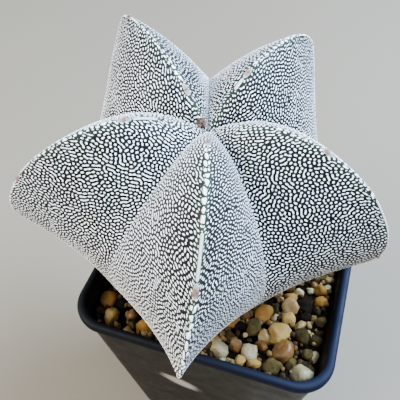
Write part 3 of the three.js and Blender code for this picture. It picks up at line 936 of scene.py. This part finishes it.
def flank_points(number, furrow, polar, share):
    """Points of a flank at each polar angle and share of the way to the furrow, in the pot."""
    top, across, outward = flank_frame(number, furrow, polar)
    width = lengths(across)
    bulge = width * swell_at(number, polar, share) * 4 * share * (1 - share)
    inward, sharpness = crest_rounding(number, polar)
    radius = np.minimum(CREST_ROUND, CREST_ROUND_SHARE * width) + 1e-9
    near = np.maximum(radius - share * width, 0)
    drop = sharpness * near ** 2 / (2 * radius)
    return into_pot(top + across * share[:, None] + outward * bulge[:, None]
                    + inward * drop[:, None])


print("rib tips in mm:", [into_pot(crest_line(r, KNOTS[5])).round(1).tolist()
                          for r in range(len(RIBS))])

# %% [markdown]
# ## The pattern of wool
#
# Each fleck is a tiny tuft of wool. Seen from a step away they are round dots and short worms of
# white, parted by an unbroken dark net, all at one even spacing. Such patterns grow by themselves
# where a tuft helps its near neighbourhood and hinders what lies further off. The same rule is
# run here on plain noise: in each step, waves of one length grow, all others fade, and a square
# term turns some of the stripes into dots. A slow wave combs the worms in changing directions.

# %% Grow the pattern
FIELD_SIZE = 1024
FIELD_CELL = 0.1
FLECK_PITCH = 0.93
FLECK_SEED = 5
GROWTH_RATE = 0.35
GROWTH_STEPS = 12
DOTTED = 0.85
COMBED = 0.04
COMB_TURN = 0.5
COMB_PATCH = 4.0
COMB_BAND = 0.35
WOOL_SHARE = 0.335
EDGE_SLOPE = 3.6
EDGE_BAND = 0.1
NET_DEPTH = 2.5
FIRST_NOISE = 0.3
down = np.fft.fftfreq(FIELD_SIZE, FIELD_CELL)[:, None]
right = np.fft.rfftfreq(FIELD_SIZE, FIELD_CELL)[None, :]
squared_pitch = (right ** 2 + down ** 2) * FLECK_PITCH ** 2


def field_of(waves):
    return np.fft.irfft2(waves, s=(FIELD_SIZE, FIELD_SIZE))


def slow_wave(rng, width):
    """Noise that changes slowly from place to place, over a width in millimetres."""
    soft = np.exp(-2 * (math.pi * width) ** 2 * (right ** 2 + down ** 2))
    wave = field_of(np.fft.rfft2(rng.standard_normal((FIELD_SIZE, FIELD_SIZE))) * soft)
    return wave / wave.std()


def grow_pattern():
    """How far each place lies inside its tuft of wool: below 0 is bare skin."""
    rng = np.random.default_rng(FLECK_SEED)
    comb = 2 * COMB_TURN * slow_wave(rng, COMB_PATCH)
    feed = GROWTH_RATE - (1 - squared_pitch) ** 2
    near = FLECK_PITCH ** 2 * np.exp(-((np.sqrt(squared_pitch) - 1) / COMB_BAND) ** 2)
    upright, slanted = near * (right ** 2 - down ** 2), near * 2 * right * down
    waves = np.fft.rfft2(FIRST_NOISE * rng.standard_normal((FIELD_SIZE, FIELD_SIZE)))
    for _ in range(GROWTH_STEPS):
        field = field_of(waves)
        combing = (np.cos(comb) * field_of(waves * upright)
                   + np.sin(comb) * field_of(waves * slanted))
        change = np.fft.rfft2(DOTTED * field ** 2 - field ** 3 - COMBED * combing)
        waves = (waves * (1 + np.maximum(feed, 0)) + change) / (1 - np.minimum(feed, 0))
    field = field_of(waves)
    field -= np.quantile(field, 1 - WOOL_SHARE)
    slope = np.hypot(*np.gradient(field, FIELD_CELL))
    field *= EDGE_SLOPE / slope[np.abs(field) < EDGE_BAND].mean()
    return np.where(field < 0, NET_DEPTH * field, field)


pattern = grow_pattern()
print("wool from", pattern.min().round(2), "to", pattern.max().round(2))


def read_pattern(place):
    """The pattern's value at flat places in millimetres, between its four nearest cells."""
    column, row = place[:, 0] / FIELD_CELL, place[:, 1] / FIELD_CELL
    left, top = np.floor(column).astype(int), np.floor(row).astype(int)
    u, v = column - left, row - top
    left, top = left % FIELD_SIZE, top % FIELD_SIZE
    right_of, below = (left + 1) % FIELD_SIZE, (top + 1) % FIELD_SIZE
    return ((pattern[top, left] * (1 - u) + pattern[top, right_of] * u) * (1 - v)
            + (pattern[below, left] * (1 - u) + pattern[below, right_of] * u) * v)


# %% [markdown]
# ## Laying the pattern on a flank
#
# A flank is bent in one direction almost everywhere, so it can be rolled out flat like a paper
# pattern. Crest and furrow are two rails of a ladder, and each rung is laid next to the one
# before it with its true lengths. The flecks keep their size that way all over the plant.

# %% Rows and flat layout


def running_length(line):
    """The length along a line of points, at each of them."""
    return np.concatenate([[0], np.cumsum(lengths(np.diff(line, axis=0)))])


def even_rows(cell):
    """Polar angles of the rows, evenly spaced along the middle of the flanks."""
    fine = np.linspace(0, KNOTS[-1], 2000)
    middle = np.mean([lengths(np.diff(crest_line(r, fine) + furrow_line(r, fine), axis=0)) / 2
                      for r in range(len(RIBS))], axis=0)
    length = np.concatenate([[0], np.cumsum(middle)])
    count = int(round(length[-1] / cell))
    return np.interp(np.linspace(0, length[-1], count + 1), length, fine)


def third_corner(a, b, from_a, from_b, side):
    """The flat place at two distances from a and b, on one side of the line between them."""
    base = math.dist(a, b)
    along = (from_a ** 2 - from_b ** 2 + base ** 2) / (2 * base)
    off = math.sqrt(max(from_a ** 2 - along ** 2, 0)) * side
    ux, uy = (b[0] - a[0]) / base, (b[1] - a[1]) / base
    return (a[0] + ux * along - uy * off, a[1] + uy * along + ux * off)


def laid_flat(crest, furrow):
    """The flat places of the two rails, rung by rung, by the lengths of the triangles' sides."""
    step, far_step = lengths(np.diff(crest, axis=0)), lengths(np.diff(furrow, axis=0))
    rung, cross = lengths(furrow - crest), lengths(crest[1:] - furrow[:-1])
    flat_crest = [(0.0, 0.0), (0.0, step[0])]
    flat_furrow = [(0.0, 0.0), third_corner((0.0, 0.0), flat_crest[1], far_step[0], rung[1], -1)]
    for i in range(1, len(step)):
        new = third_corner(flat_crest[i], flat_furrow[i], step[i], cross[i], 1)
        flat_crest.append(new)
        flat_furrow.append(third_corner(flat_furrow[i], new, far_step[i], rung[i + 1], -1))
    return np.array(flat_crest), np.array(flat_furrow)


rows_of = [even_rows(rib["cell"]) for rib in RIBS]
print("rows of the ribs:", [len(rows) for rows in rows_of])

# %% [markdown]
# The flecks aren't laid down evenly. They slant away from a crest like a herringbone, crowd
# together at crest and furrow and at the tip of the front rib, and turn faint in the furrows and
# low down, where old wool is rubbed flat. The two sides of a rib aren't the same either, so some
# flanks have finer or sparser flecks.

# %% Wool of a flank
HERRINGBONE = 0.9
HERRINGBONE_REACH = 4.0
GRAIN_ANGLE = 58 * DEG
CREST_CROWDING = 0.2
FURROW_CROWDING = 0.4
CROWDING_REACH = 2.6
FINENESS = {  # across a flank and along it, where it isn't 1
    ("front", 0): (0.82, 1.06), ("front", 1): (0.86, 1.2), ("back_right", 0): (1.0, 1.04),
    ("back_right", 1): (1.1, 1.15), ("back_left", 0): (1.15, 1.15), ("back_left", 1): (1.0, 1.04),
}
SPARSER = {("front", 1): 0.15, ("back_right", 0): 0.1, ("back_left", 0): 0.1}
FRONT_TIP = (64, 0.3)
OTHER_TIPS = (92, 0)
TIP_SPAN = 25
TIP_FAINTNESS = 0.7
FURROW_BANDS = [1.3, 1.0, 2.6, 1.0, 0.9]
FAINT_LOSS = 0.5
FAINT_FILL = 0.1
PATTERN_SHIFT = 200


def wool_on_flank(number, side, row, share, rng):
    """The wool value at points of one flank, from its flat layout."""
    rows, flank = rows_of[number], (RIBS[number]["name"], side)
    furrow = furrows_beside(number)[side]
    crest, valley = crest_line(number, rows), furrow_line(furrow, rows)
    flat_crest, flat_furrow = laid_flat(crest, valley)
    width = lengths(valley - crest)[row]
    from_crest, from_furrow = share * width, (1 - share) * width
    over = unit(flat_furrow - flat_crest)[row]
    down = unit(np.gradient(flat_crest, axis=0))[row]
    tip_from, tip_crowding = FRONT_TIP if number == 0 else OTHER_TIPS
    tip = np.clip((rows[row] / DEG - tip_from) / TIP_SPAN, 0, 1)
    fall = running_length(crest)
    past_tip = fall[row] - np.interp(tip_from * DEG, rows, fall)
    slant = (HERRINGBONE * HERRINGBONE_REACH * (1 - np.exp(-from_crest / HERRINGBONE_REACH))
             + tip_crowding * tip * past_tip)
    crowd = (CREST_CROWDING * CROWDING_REACH * (1 - np.exp(-from_crest / CROWDING_REACH))
             + FURROW_CROWDING * CROWDING_REACH * np.exp(-from_furrow / CROWDING_REACH)
             + tip_crowding * tip * from_crest)
    place = flat_crest[row] + (flat_furrow - flat_crest)[row] * share[:, None]
    place = place + down * slant[:, None] + over * crowd[:, None]
    grain = unit(flat_furrow - flat_crest)[np.searchsorted(rows, GRAIN_ANGLE)]
    place = place @ np.array([[grain[0], -grain[1]], [grain[1], grain[0]]])
    wool = read_pattern(place * FINENESS.get(flank, (1, 1)) + rng.uniform(0, PATTERN_SHIFT, 2))
    faint = np.maximum(np.exp(-(from_furrow / FURROW_BANDS[furrow]) ** 2), TIP_FAINTNESS * tip)
    return (wool * (1 - FAINT_LOSS * faint) + FAINT_FILL * faint
            - SPARSER.get(flank, 0) * (1 - faint))


test_crest, test_furrow = laid_flat(crest_line(0, rows_of[0]), furrow_line(0, rows_of[0]))
print("flat crest ends at", test_crest[-1].round(1), "furrow at", test_furrow[-1].round(1))

# %% [markdown]
# ## The marks on a crest
#
# A crest isn't a plain edge. Every few centimetres it carries an areole, an oval pad of felt that
# marks an old growing place. Above most of them the wool is drawn out into a smooth pale strip,
# and elsewhere it stands in a chain of lobed flecks that are larger than the rest, and wider low
# down, on greener skin.

# %% Crest marks
AREOLES = {  # polar angle in degrees, and the length of the strip above the areole
    "front": [(23, 0.0), (63, 9.6), (98, 0.0)],
    "right": [(47, 0.0), (91, 19.0)],
    "back_right": [(24, 3.5), (79, 6.0), (108, 5.0)],
    "back_left": [(16, 2.0), (48, 5.0), (84, 6.0)],
    "left": [(32, 6.0), (70, 5.0), (104, 5.0)],
}
PAD_HALF = (1.7, 0.95)
PAD_REACH = 2.0
PAD_MARGIN = 0.12
PAD_LIMITS = (-0.9, 1)
BARE_MARGIN = 0.3
STRIP_HALF = 0.5
STRIP_LIMITS = (-0.8, 1)
STRIP_SHORTEST = 3
STRIP_FELT = 0.62
CHAIN_START = 20.0
CHAIN_END = 14
CHAIN_GAP = 0.38
CHAIN_SPARE = 1.4
CHAIN_ABOVE_STRIP = 1.0
CHAIN_BELOW_PAD = 2.8
CHAIN_WIDENS = 46.0
WIDENED = 1.15
CHAIN_SCALE = {"front": 1.0}
OTHER_CHAINS = 0.78
FLECK_HALF = (0.5, 1.05)
FLECK_WIDTH = (0.5, 0.76)
FLECK_ASIDE = 0.22
FLECK_SLANT = 0.35
FLECK_LIMITS = (-1.1, 1.2)
FLECK_SHARPNESS = 0.8
PAIRED = 0.5
PAIR = ((1.0, 0.5, 1.0, 0.45), (0.7, -0.6, 0.6, 0.38))  # along, aside, half length, half width
LOBES = [2, 3, 4]
LOBE_DEPTH = 0.17


def chain_of_flecks(first, last, scale, rng):
    """Single and paired flecks: length along the crest, place across, half length, half width."""
    flecks, at = [], first
    while at < last - CHAIN_SPARE:
        size = scale if at < CHAIN_WIDENS else WIDENED * scale
        half = rng.uniform(*FLECK_HALF) * size
        width = rng.uniform(*FLECK_WIDTH) * size
        side = rng.choice([-1, 1])
        if rng.random() < PAIRED:
            flecks += [(at + half * along, aside * side * size, half * long, wide * size)
                       for along, aside, long, wide in PAIR]
        else:
            flecks.append((at + half, FLECK_ASIDE * side, half, width))
        at += 2 * half + CHAIN_GAP
    return flecks


def lay_chain(wool, length, across, first, last, scale, rng):
    """Puts a chain of large flecks in place of the small ones beside a crest."""
    for at, middle, half, width in chain_of_flecks(first, last, scale, rng):
        slant = FLECK_SLANT * rng.uniform(-1, 1)
        along, aside = (length - at) / half, (across - middle - slant * (length - at)) / width
        lobes, turn = rng.choice(LOBES), rng.uniform(0, TURN)
        reach = np.hypot(along, aside)
        reach *= 1 + LOBE_DEPTH * np.sin(lobes * np.arctan2(aside, along) + turn)
        inside = EDGE_SLOPE * FLECK_SHARPNESS * width * (1 - reach ** 1.5)
        wool[:] = np.where(reach < 1 + BARE_MARGIN / width, inside.clip(*FLECK_LIMITS), wool)


def crest_marks(number, length, across, wool, rng):
    """Changes the wool near a crest, and gives the share of felt at each point."""
    name = RIBS[number]["name"]
    felt = np.zeros(len(wool))
    fine = np.linspace(0, KNOTS[-1], 1500)
    ruler = running_length(crest_line(number, fine))
    start, scale = CHAIN_START, CHAIN_SCALE.get(name, OTHER_CHAINS)
    for degrees, strip in AREOLES[name]:
        areole = float(np.interp(degrees * DEG, fine, ruler))
        strip_end = areole - PAD_REACH
        strip_top = strip_end - strip
        lay_chain(wool, length, across, start, strip_top - CHAIN_ABOVE_STRIP, scale, rng)
        if strip > STRIP_SHORTEST:
            along = np.clip(length, strip_top + STRIP_HALF, strip_end - STRIP_HALF)
            from_strip = np.hypot(across, length - along)
            strip_edge = EDGE_SLOPE * (STRIP_HALF - from_strip)
            wool[:] = np.where(from_strip < STRIP_HALF + BARE_MARGIN,
                               strip_edge.clip(*STRIP_LIMITS), wool)
            felt = np.maximum(felt, STRIP_FELT * (from_strip < STRIP_HALF))
        pad = 1 - np.hypot((length - areole) / PAD_HALF[0], across / PAD_HALF[1])
        wool[:] = np.where(pad > -PAD_MARGIN, (EDGE_SLOPE * pad).clip(*PAD_LIMITS), wool)
        felt = np.maximum(felt, np.clip(pad * 4 + 0.5, 0, 1))
        start = areole + CHAIN_BELOW_PAD
    lay_chain(wool, length, across, start, length.max() - CHAIN_END, scale, rng)
    return felt


print("areoles:", sum(len(places) for places in AREOLES.values()))

# %% [markdown]
# ## The ribs
#
# Each rib is one closed piece: two flanks that meet at the crest, closed inside by walls that run
# from the furrows to the heart of the plant. The flecks are about half a millimetre across, so
# the skin needs points every quarter of a millimetre. A grid with the same number of columns
# everywhere would crowd at the crown, so each row has as many points as fit its own width, and
# neighbouring rows are stitched together. One mesh for the whole plant would pass the limit on
# triangles for a piece, which is why the skin is split along the furrows.

# %% Stitch the rows of a rib


def stitched(upper, lower, flip):
    """Triangles between two rows of point numbers that run side by side."""
    upper_middle, lower_middle = [(np.arange(len(row) - 1) + 0.5) / max(len(row) - 1, 1)
                                  for row in (upper, lower)]
    below = lower[np.searchsorted(lower_middle, upper_middle, side="left")]
    above = upper[np.searchsorted(upper_middle, lower_middle, side="right")]
    faces = np.concatenate([np.stack([upper[:-1], upper[1:], below], 1),
                            np.stack([lower[:-1], above, lower[1:]], 1)])
    return faces[:, ::-1] if flip else faces


def rib_layout(number):
    """Numbers the points of a rib. Gives each point's row, side and share, the faces, and how
    many of the faces are skin."""
    rows, cell = rows_of[number], RIBS[number]["cell"]
    widths = [lengths(flank_frame(number, furrow, rows)[1]) for furrow in furrows_beside(number)]
    counts = [np.maximum(1, np.rint(width / cell)).astype(int) for width in widths]
    ids, table, faces, total = ([], []), [], [], 0
    for i in range(len(rows)):
        for side in (0, 1):
            count = 0 if i == 0 else counts[side][i]
            share = np.arange(count + 1) / max(count, 1)
            if side == 0:
                ids[0].append(total + np.arange(count + 1))
            else:
                share = share[1:]
                ids[1].append(np.concatenate([ids[0][i][:1], total + np.arange(count)]))
            total += len(share)
            table.append(np.stack([np.full(len(share), i), np.full(len(share), side), share], 1))
            if i > 0:
                faces.append(stitched(ids[side][i - 1], ids[side][i], side == 1))
    skin_faces = sum(len(part) for part in faces)
    borders = [np.array([row[-1] for row in ids[side]]) for side in (0, 1)]
    borders.append(np.concatenate([ids[0][-1][::-1], ids[1][-1][1:]]))
    for border in borders:
        faces.append(np.stack([border[:-1], border[1:], np.full(len(border) - 1, total)], 1))
    return np.concatenate(table), np.concatenate(faces), skin_faces


print("faces of the front rib:", len(rib_layout(0)[1]))

# %% [markdown]
# The wool stands up to 0.13 mm above the skin as real relief. It fades out at the furrows, at the
# crown and at the foot, where pieces meet. Each point also keeps what the skin's material reads:
# its wool, its felt, how fresh and green it is, and its age.

# %% Build the ribs
WOOL_HEIGHT = 0.13
WOOL_RISE = (0.25, 1.1)
PATTERN_SEED = 31
FADE_AT_FURROW = 0.8
FADE_AT_CROWN = 1.5
FADE_ROWS_AT_FOOT = 4
FRESH_BAND = 1.8
FRESHNESS = {"front": 1.0}
OTHER_FRESHNESS = 0.8
AGE_FROM = 72
AGE_SPAN = 48


def build_rib(number):
    rib, rows = RIBS[number], rows_of[number]
    rng = np.random.default_rng(PATTERN_SEED + number)
    table, faces, skin_faces = rib_layout(number)
    row, side, share = table[:, 0].astype(int), table[:, 1].astype(int), table[:, 2]
    points, wool, width = np.empty((len(row), 3)), np.empty(len(row)), np.empty(len(row))
    for half, furrow in enumerate(furrows_beside(number)):
        mine = side == half
        width[mine] = lengths(flank_frame(number, furrow, rows)[1])[row[mine]]
        points[mine] = flank_points(number, furrow, rows[row[mine]], share[mine])
        wool[mine] = wool_on_flank(number, half, row[mine], share[mine], rng)
    length = running_length(crest_line(number, rows))[row]
    across = share * width * np.where(side == 0, -1, 1)
    felt = crest_marks(number, length, across, wool, rng)
    piece = mesh_piece("rib_" + rib["name"], np.vstack([points, HEART]), faces)
    piece.data.polygons.foreach_set("use_smooth", np.arange(len(faces)) < skin_faces)
    in_edit_mode(piece, lambda: bpy.ops.mesh.normals_make_consistent(inside=False))
    settle = (np.clip((1 - share) * width / FADE_AT_FURROW, 0, 1)
              * np.clip(length / FADE_AT_CROWN, 0, 1)
              * np.clip((len(rows) - 1 - row) / FADE_ROWS_AT_FOOT, 0, 1))
    height = eased(np.clip((wool + WOOL_RISE[0]) / WOOL_RISE[1], 0, 1)) * WOOL_HEIGHT * settle
    normals = at_vertices(piece, "normal")[:-1]
    move_points(piece, np.vstack([points + normals * height[:, None], HEART]))
    green = FRESHNESS.get(rib["name"], OTHER_FRESHNESS)
    for name, values in (
        ("wool", wool), ("felt", felt), ("fresh", green * np.exp(-(across / FRESH_BAND) ** 2)),
        ("age", np.clip((rows[row] / DEG - AGE_FROM) / AGE_SPAN, 0, 1)),
    ):
        store(piece, name, np.append(values, 0))
    return piece


ribs = [build_rib(number) for number in range(len(RIBS))]
print("rib points:", [len(rib.data.vertices) for rib in ribs])

# %% [markdown]
# The skin itself is a waxy, dark green cuticle. The wool is matt and almost white, it turns
# beige where it is old and low down, and green shows through between its flecks along the crests.
# The wool's edge is made ragged with noise of a third of a millimetre. Larger noise, of about
# 1 mm, makes some tufts whiter than others, and the green comes and goes in patches of about 1 cm.

# %% Skin material: waxy cuticle with wool
skin, places, shader = new_material("waxy_cuticle_with_wool")
wool, felt, fresh, age = [add(skin, "Attribute", attribute_name=name).outputs["Fac"]
                          for name in ("wool", "felt", "fresh", "age")]
fibres = add(skin, "TexNoise", {"Vector": places, "Scale": 3.2, "Detail": 3.0, "Roughness": 0.6})
ragged = add(skin, "Math", {0: fibres, 1: 0.3, 2: -0.15}, operation="MULTIPLY_ADD")
edge = add(skin, "Math", {0: wool, 1: ragged}, operation="ADD")
cover = add(skin, "MapRange", {"Value": edge, "From Min": -0.16, "From Max": 0.16},
            interpolation_type="SMOOTHSTEP")
patches = add(skin, "TexNoise", {"Vector": places, "Scale": 0.09, "Detail": 3.0})
young = add(skin, "Math", {0: fresh, 1: patches}, operation="MULTIPLY")
green = add(skin, "Mix", {0: young, 6: "#050705", 7: "#2c3826"}, data_type="RGBA")
tufts = add(skin, "TexNoise", {"Vector": places, "Scale": 0.9, "Detail": 4.0, "Roughness": 0.6})
white = add(skin, "Mix", {0: tufts, 6: "#e6e8e9", 7: "#fdfdfa"}, data_type="RGBA")
aged = add(skin, "Mix", {0: age, 6: white, 7: "#cdb898"}, data_type="RGBA")
felted = add(skin, "Mix", {0: felt, 6: aged, 7: "#8a756c"}, data_type="RGBA")
colour = add(skin, "Mix", {0: cover, 6: green, 7: felted}, data_type="RGBA")
dull = add(skin, "MapRange", {"Value": cover, "To Min": 0.42, "To Max": 0.92})
bump = add(skin, "Bump", {"Height": fibres, "Strength": 0.35, "Distance": 0.08 * MM})
wire(shader, {"Base Color": colour, "Roughness": dull, "Normal": bump,
              "Specular IOR Level": 0.06})
for rib in ribs:
    finish_piece(rib, skin, "cactus")

# %% [markdown]
# ## The foot of the plant
#
# Below the ribs the body draws in to a round neck that goes down through the gravel, and ends in
# a stubby taproot in the mix. Old skin there turns to cork: brown, matt, wrinkled in uneven rings
# and cracked into scales of 1 to 2 mm. The neck is a grid rolled round it, whose rings run from
# the star of the ribs to a circle.

# %% Root collar
COLLAR_COLUMNS = 18
COLLAR_STEPS = 30
COLLAR_FLARE = 6
NECK_TOP = POT_HEIGHT - 3.2
NECK_RISE = 3
WRINKLE_DEPTH = 0.4
WRINKLE_SEED = 12
WRINKLE_WAVES = (38, 71)
WRINKLE_MEAN = 0.5
WRINKLE_SWING = 0.3
WRINKLES_SET_IN = 6
FINE_WRINKLES = 0.6
FINE_WANDER = 1.7
WANDER_WAVES = (1, 2, 3, 5)
TAPROOT = [(NECK_RADIUS, POT_HEIGHT - 22), (8.5, POT_HEIGHT - 36), (3, POT_HEIGHT - 45.5),
           (0, POT_HEIGHT - 46)]


def body_ring(polar):
    """One closed ring round the star of the body at a polar angle."""
    ring = []
    for number in range(len(RIBS)):
        for half, furrow in enumerate(furrows_beside(number)):
            share = np.arange(COLLAR_COLUMNS) / COLLAR_COLUMNS
            share = 1 - share if half == 0 else share
            ring.append(flank_points(number, furrow, np.full(COLLAR_COLUMNS, polar), share))
    ring = np.concatenate(ring)
    return np.vstack([ring, ring[:1]])


def collar_rings():
    start = body_ring(KNOTS[-1])
    heading = unit(start - body_ring(KNOTS[-1] - 2 * DEG)) * COLLAR_FLARE
    around = np.arctan2(start[:, 1] - HEART[1], start[:, 0] - HEART[0])
    circle = np.stack([np.cos(around), np.sin(around)], 1)

    def level(radius, z):
        return np.column_stack([HEART[:2] + radius * circle, np.full(len(start), z)])

    neck = level(NECK_RADIUS, NECK_TOP)
    rng = np.random.default_rng(WRINKLE_SEED)
    wander = sum(rng.uniform(0.3, 1) * np.sin(k * around + rng.uniform(0, TURN))
                 for k in WANDER_WAVES)
    inward = np.column_stack([-circle, np.zeros(len(start))])
    rings = [np.tile(HEART, (len(start), 1))]
    for t in np.arange(COLLAR_STEPS + 1) / COLLAR_STEPS:
        ring = (start * (1 - t) ** 3 + (start + heading) * 3 * t * (1 - t) ** 2
                + (neck + [0, 0, NECK_RISE]) * 3 * t * t * (1 - t) + neck * t ** 3)
        fold = (np.sin(WRINKLE_WAVES[0] * t + wander)
                + FINE_WRINKLES * np.sin(WRINKLE_WAVES[1] * t - FINE_WANDER * wander))
        depth = (WRINKLE_DEPTH * (WRINKLE_MEAN + WRINKLE_SWING * fold)
                 * np.clip(WRINKLES_SET_IN * t, 0, 1))
        rings.append(ring + inward * depth[:, None])
    return rings + [level(radius, z) for radius, z in TAPROOT]


collar = rolled_grid("root_collar", collar_rings())
in_edit_mode(collar, lambda: bpy.ops.mesh.faces_shade_smooth())
print("rings of the collar:", COLLAR_STEPS + 1)

# %% Collar material: cork
cork, places, shader = new_material("cork")
cracks = add(cork, "TexVoronoi", {"Vector": places, "Scale": 0.8}, feature="DISTANCE_TO_EDGE")
scales = add(cork, "TexNoise", {"Vector": places, "Scale": 0.6, "Detail": 6.0, "Roughness": 0.7})
shades = add(cork, "ValToRGB", {"Fac": scales},
             stops={0: "#1f160e", 0.45: "#44351f", 0.7: "#6d5a3d", 1: "#8d7c5f"})
split = add(cork, "MapRange", {"Value": cracks, "From Max": 0.08, "To Min": 0.75, "To Max": 0.0})
barked = add(cork, "Mix", {0: split, 6: shades, 7: "#130c06"}, data_type="RGBA")
relief = add(cork, "Bump", {"Height": cracks, "Strength": 0.6, "Distance": 0.4 * MM})
wire(shader, {"Base Color": barked, "Normal": relief, "Roughness": 0.9})
finish_piece(collar, cork, "cactus")

# %% [markdown]
# ## Felt on the areoles and the crown
#
# An areole's felt is a low cushion of short wool. At the crown, where new skin grows, the wool is
# long, brown and matted. Both are a flattened ball that is roughened with a Displace modifier,
# with small locks of hair standing out of it.

# %% Felt cushions
LOCK_SEED = 7
LOCK_THICKNESS = 0.055
LOCK_THINNING = 0.6
LOCK_BEND = (0.55, 0.12)
LOCK_RISE = (0.25, 0.8)
LOCK_ROOT = 0.8
LOCK_SPREAD = [1, 1, 0.6]
LOCK_STRAY = 0.25
FELT_LUMPS = 0.3
FELT_ROUGHNESS = 0.28


def felt_cushion():
    """Points and faces of a ball of radius 1 with a woolly surface."""
    ball = add_primitive(bpy.ops.mesh.primitive_ico_sphere_add, subdivisions=3, radius=1)
    apply_modifier(ball, "DISPLACE", texture=clouds("wool", FELT_LUMPS),
                   strength=FELT_ROUGHNESS, mid_level=0.5)
    return taken_apart(ball)


def lock_of_hair(root, tip):
    """A thin three-sided spike that bends a little past its middle."""
    way = tip - root
    side = unit(np.cross(way, [0.3, 0.2, 1.0]))
    other = unit(np.cross(way, side))
    ring = [LOCK_THICKNESS * r for r in (
        side, -0.5 * side + 0.87 * other, -0.5 * side - 0.87 * other)]
    middle = root + way * LOCK_BEND[0] + side * LOCK_BEND[1] * np.linalg.norm(way)
    points = [root + r for r in ring] + [middle + LOCK_THINNING * r for r in ring]
    faces = [(0, 2, 1), (0, 1, 4), (0, 4, 3), (1, 2, 5), (1, 5, 4), (2, 0, 3), (2, 3, 5),
             (3, 4, 6), (4, 5, 6), (5, 3, 6)]
    return np.array(points + [tip]), np.array(faces)


def felt_pad(middle, outward, along, sizes, locks, length):
    """A cushion on the skin, with locks that stand out of it. Sizes run along, across and out."""
    outward = unit(outward)
    along = unit(along - outward * (along @ outward))
    axes = np.array([along, np.cross(outward, along), outward])
    points, corners = cushion
    grains = [((points * sizes) @ axes + middle, corners)]
    for _ in range(locks):
        way = rng.normal(0, 1, 3)
        way[2] = abs(way[2]) * LOCK_RISE[1] + LOCK_RISE[0]
        way /= np.linalg.norm(way)
        root = (way * sizes * LOCK_ROOT) @ axes + middle
        tip = root + (way * LOCK_SPREAD + rng.normal(0, LOCK_STRAY, 3)) @ axes * length
        grains.append(lock_of_hair(root, tip))
    return grains


cushion = felt_cushion()
rng = np.random.default_rng(LOCK_SEED)
print("faces of a cushion:", len(cushion[1]))

# %% Pads of felt
PAD_SIZES = np.array([1.25, 0.72, 0.4])
PAD_LOCKS = 46
PAD_LOCK_LENGTH = 0.5
PAD_SINK = 0.42
YOUNG_BEFORE = 25
YOUNG_SCALE = 0.6
CROWN_REACH = 3.2
CROWN_SHIFT = [-0.8, 0.3, -0.3]
CROWN_FACING = np.array([-0.1, -0.2, 1.0])
CROWN_ALONG = np.array([-0.65, 0.84, 0.0])
CROWN_SIZES = np.array([2.9, 1.15, 1.0])
CROWN_LOCKS = 220
CROWN_LOCK_LENGTH = 1.2

pad_grains = []
for number, rib in enumerate(RIBS):
    rows = rows_of[number]
    crest = into_pot(crest_line(number, rows))
    inward, _ = crest_rounding(number, rows)
    for degrees, _ in AREOLES[rib["name"]]:
        i = int(np.searchsorted(rows, degrees * DEG))
        out = -(into_pot(inward[i:i + 1]) - HEART)[0]
        size = YOUNG_SCALE if degrees < YOUNG_BEFORE else 1.0
        pad_grains += felt_pad(crest[i] - out * PAD_SINK, out, crest[i + 1] - crest[i - 1],
                               PAD_SIZES * size, PAD_LOCKS, PAD_LOCK_LENGTH)
areole_felt = gathered("areole_felt", pad_grains)

# The growing point lies a little way down the crest of the back left rib.
crest = into_pot(crest_line(3, rows_of[3]))
middle = crest[int(np.searchsorted(running_length(crest), CROWN_REACH))] + CROWN_SHIFT
crown_felt = gathered("crown_wool", felt_pad(
    middle, CROWN_FACING, CROWN_ALONG, CROWN_SIZES, CROWN_LOCKS, CROWN_LOCK_LENGTH))
print("locks and cushions:", len(pad_grains) + CROWN_LOCKS + 1)

# %% [markdown]
# Fresh felt is cream with a pink cast. The wool of the crown is older and stained brown. Clumps
# of about 1 mm and the locks' own shades vary it, and its strands are 0.15 mm fine.

# %% Felt materials


def felt_material(name, stops):
    material, places, shader = new_material(name)
    own = add(material, "Attribute", attribute_name="grain_shade").outputs["Fac"]
    clumps = add(material, "TexNoise", {
        "Vector": places, "Scale": 1.1, "Detail": 4.0, "Roughness": 0.6})
    spread = add(material, "Math", {0: own, 1: 0.3, 2: clumps}, operation="MULTIPLY_ADD")
    ramp = add(material, "ValToRGB", {"Fac": spread}, stops=stops)
    strands = add(material, "TexNoise", {"Vector": places, "Scale": 7.0})
    rough = add(material, "Bump", {"Height": strands, "Strength": 0.5, "Distance": 0.1 * MM})
    wire(shader, {"Base Color": ramp, "Normal": rough, "Roughness": 0.95})
    return material


finish_piece(areole_felt, felt_material("areole_felt", {
    0: "#3a2b25", 0.45: "#6d544b", 0.75: "#937970", 1: "#b3a097"}), "cactus")
finish_piece(crown_felt, felt_material("crown_wool", {
    0: "#040201", 0.45: "#140a05", 0.6: "#523723", 0.75: "#a07f5c", 1: "#d6c2a6"}),
    "cactus")

# %% [markdown]
# Last, the scene is brought up to date.

# %% Finish
bpy.context.view_layer.update()
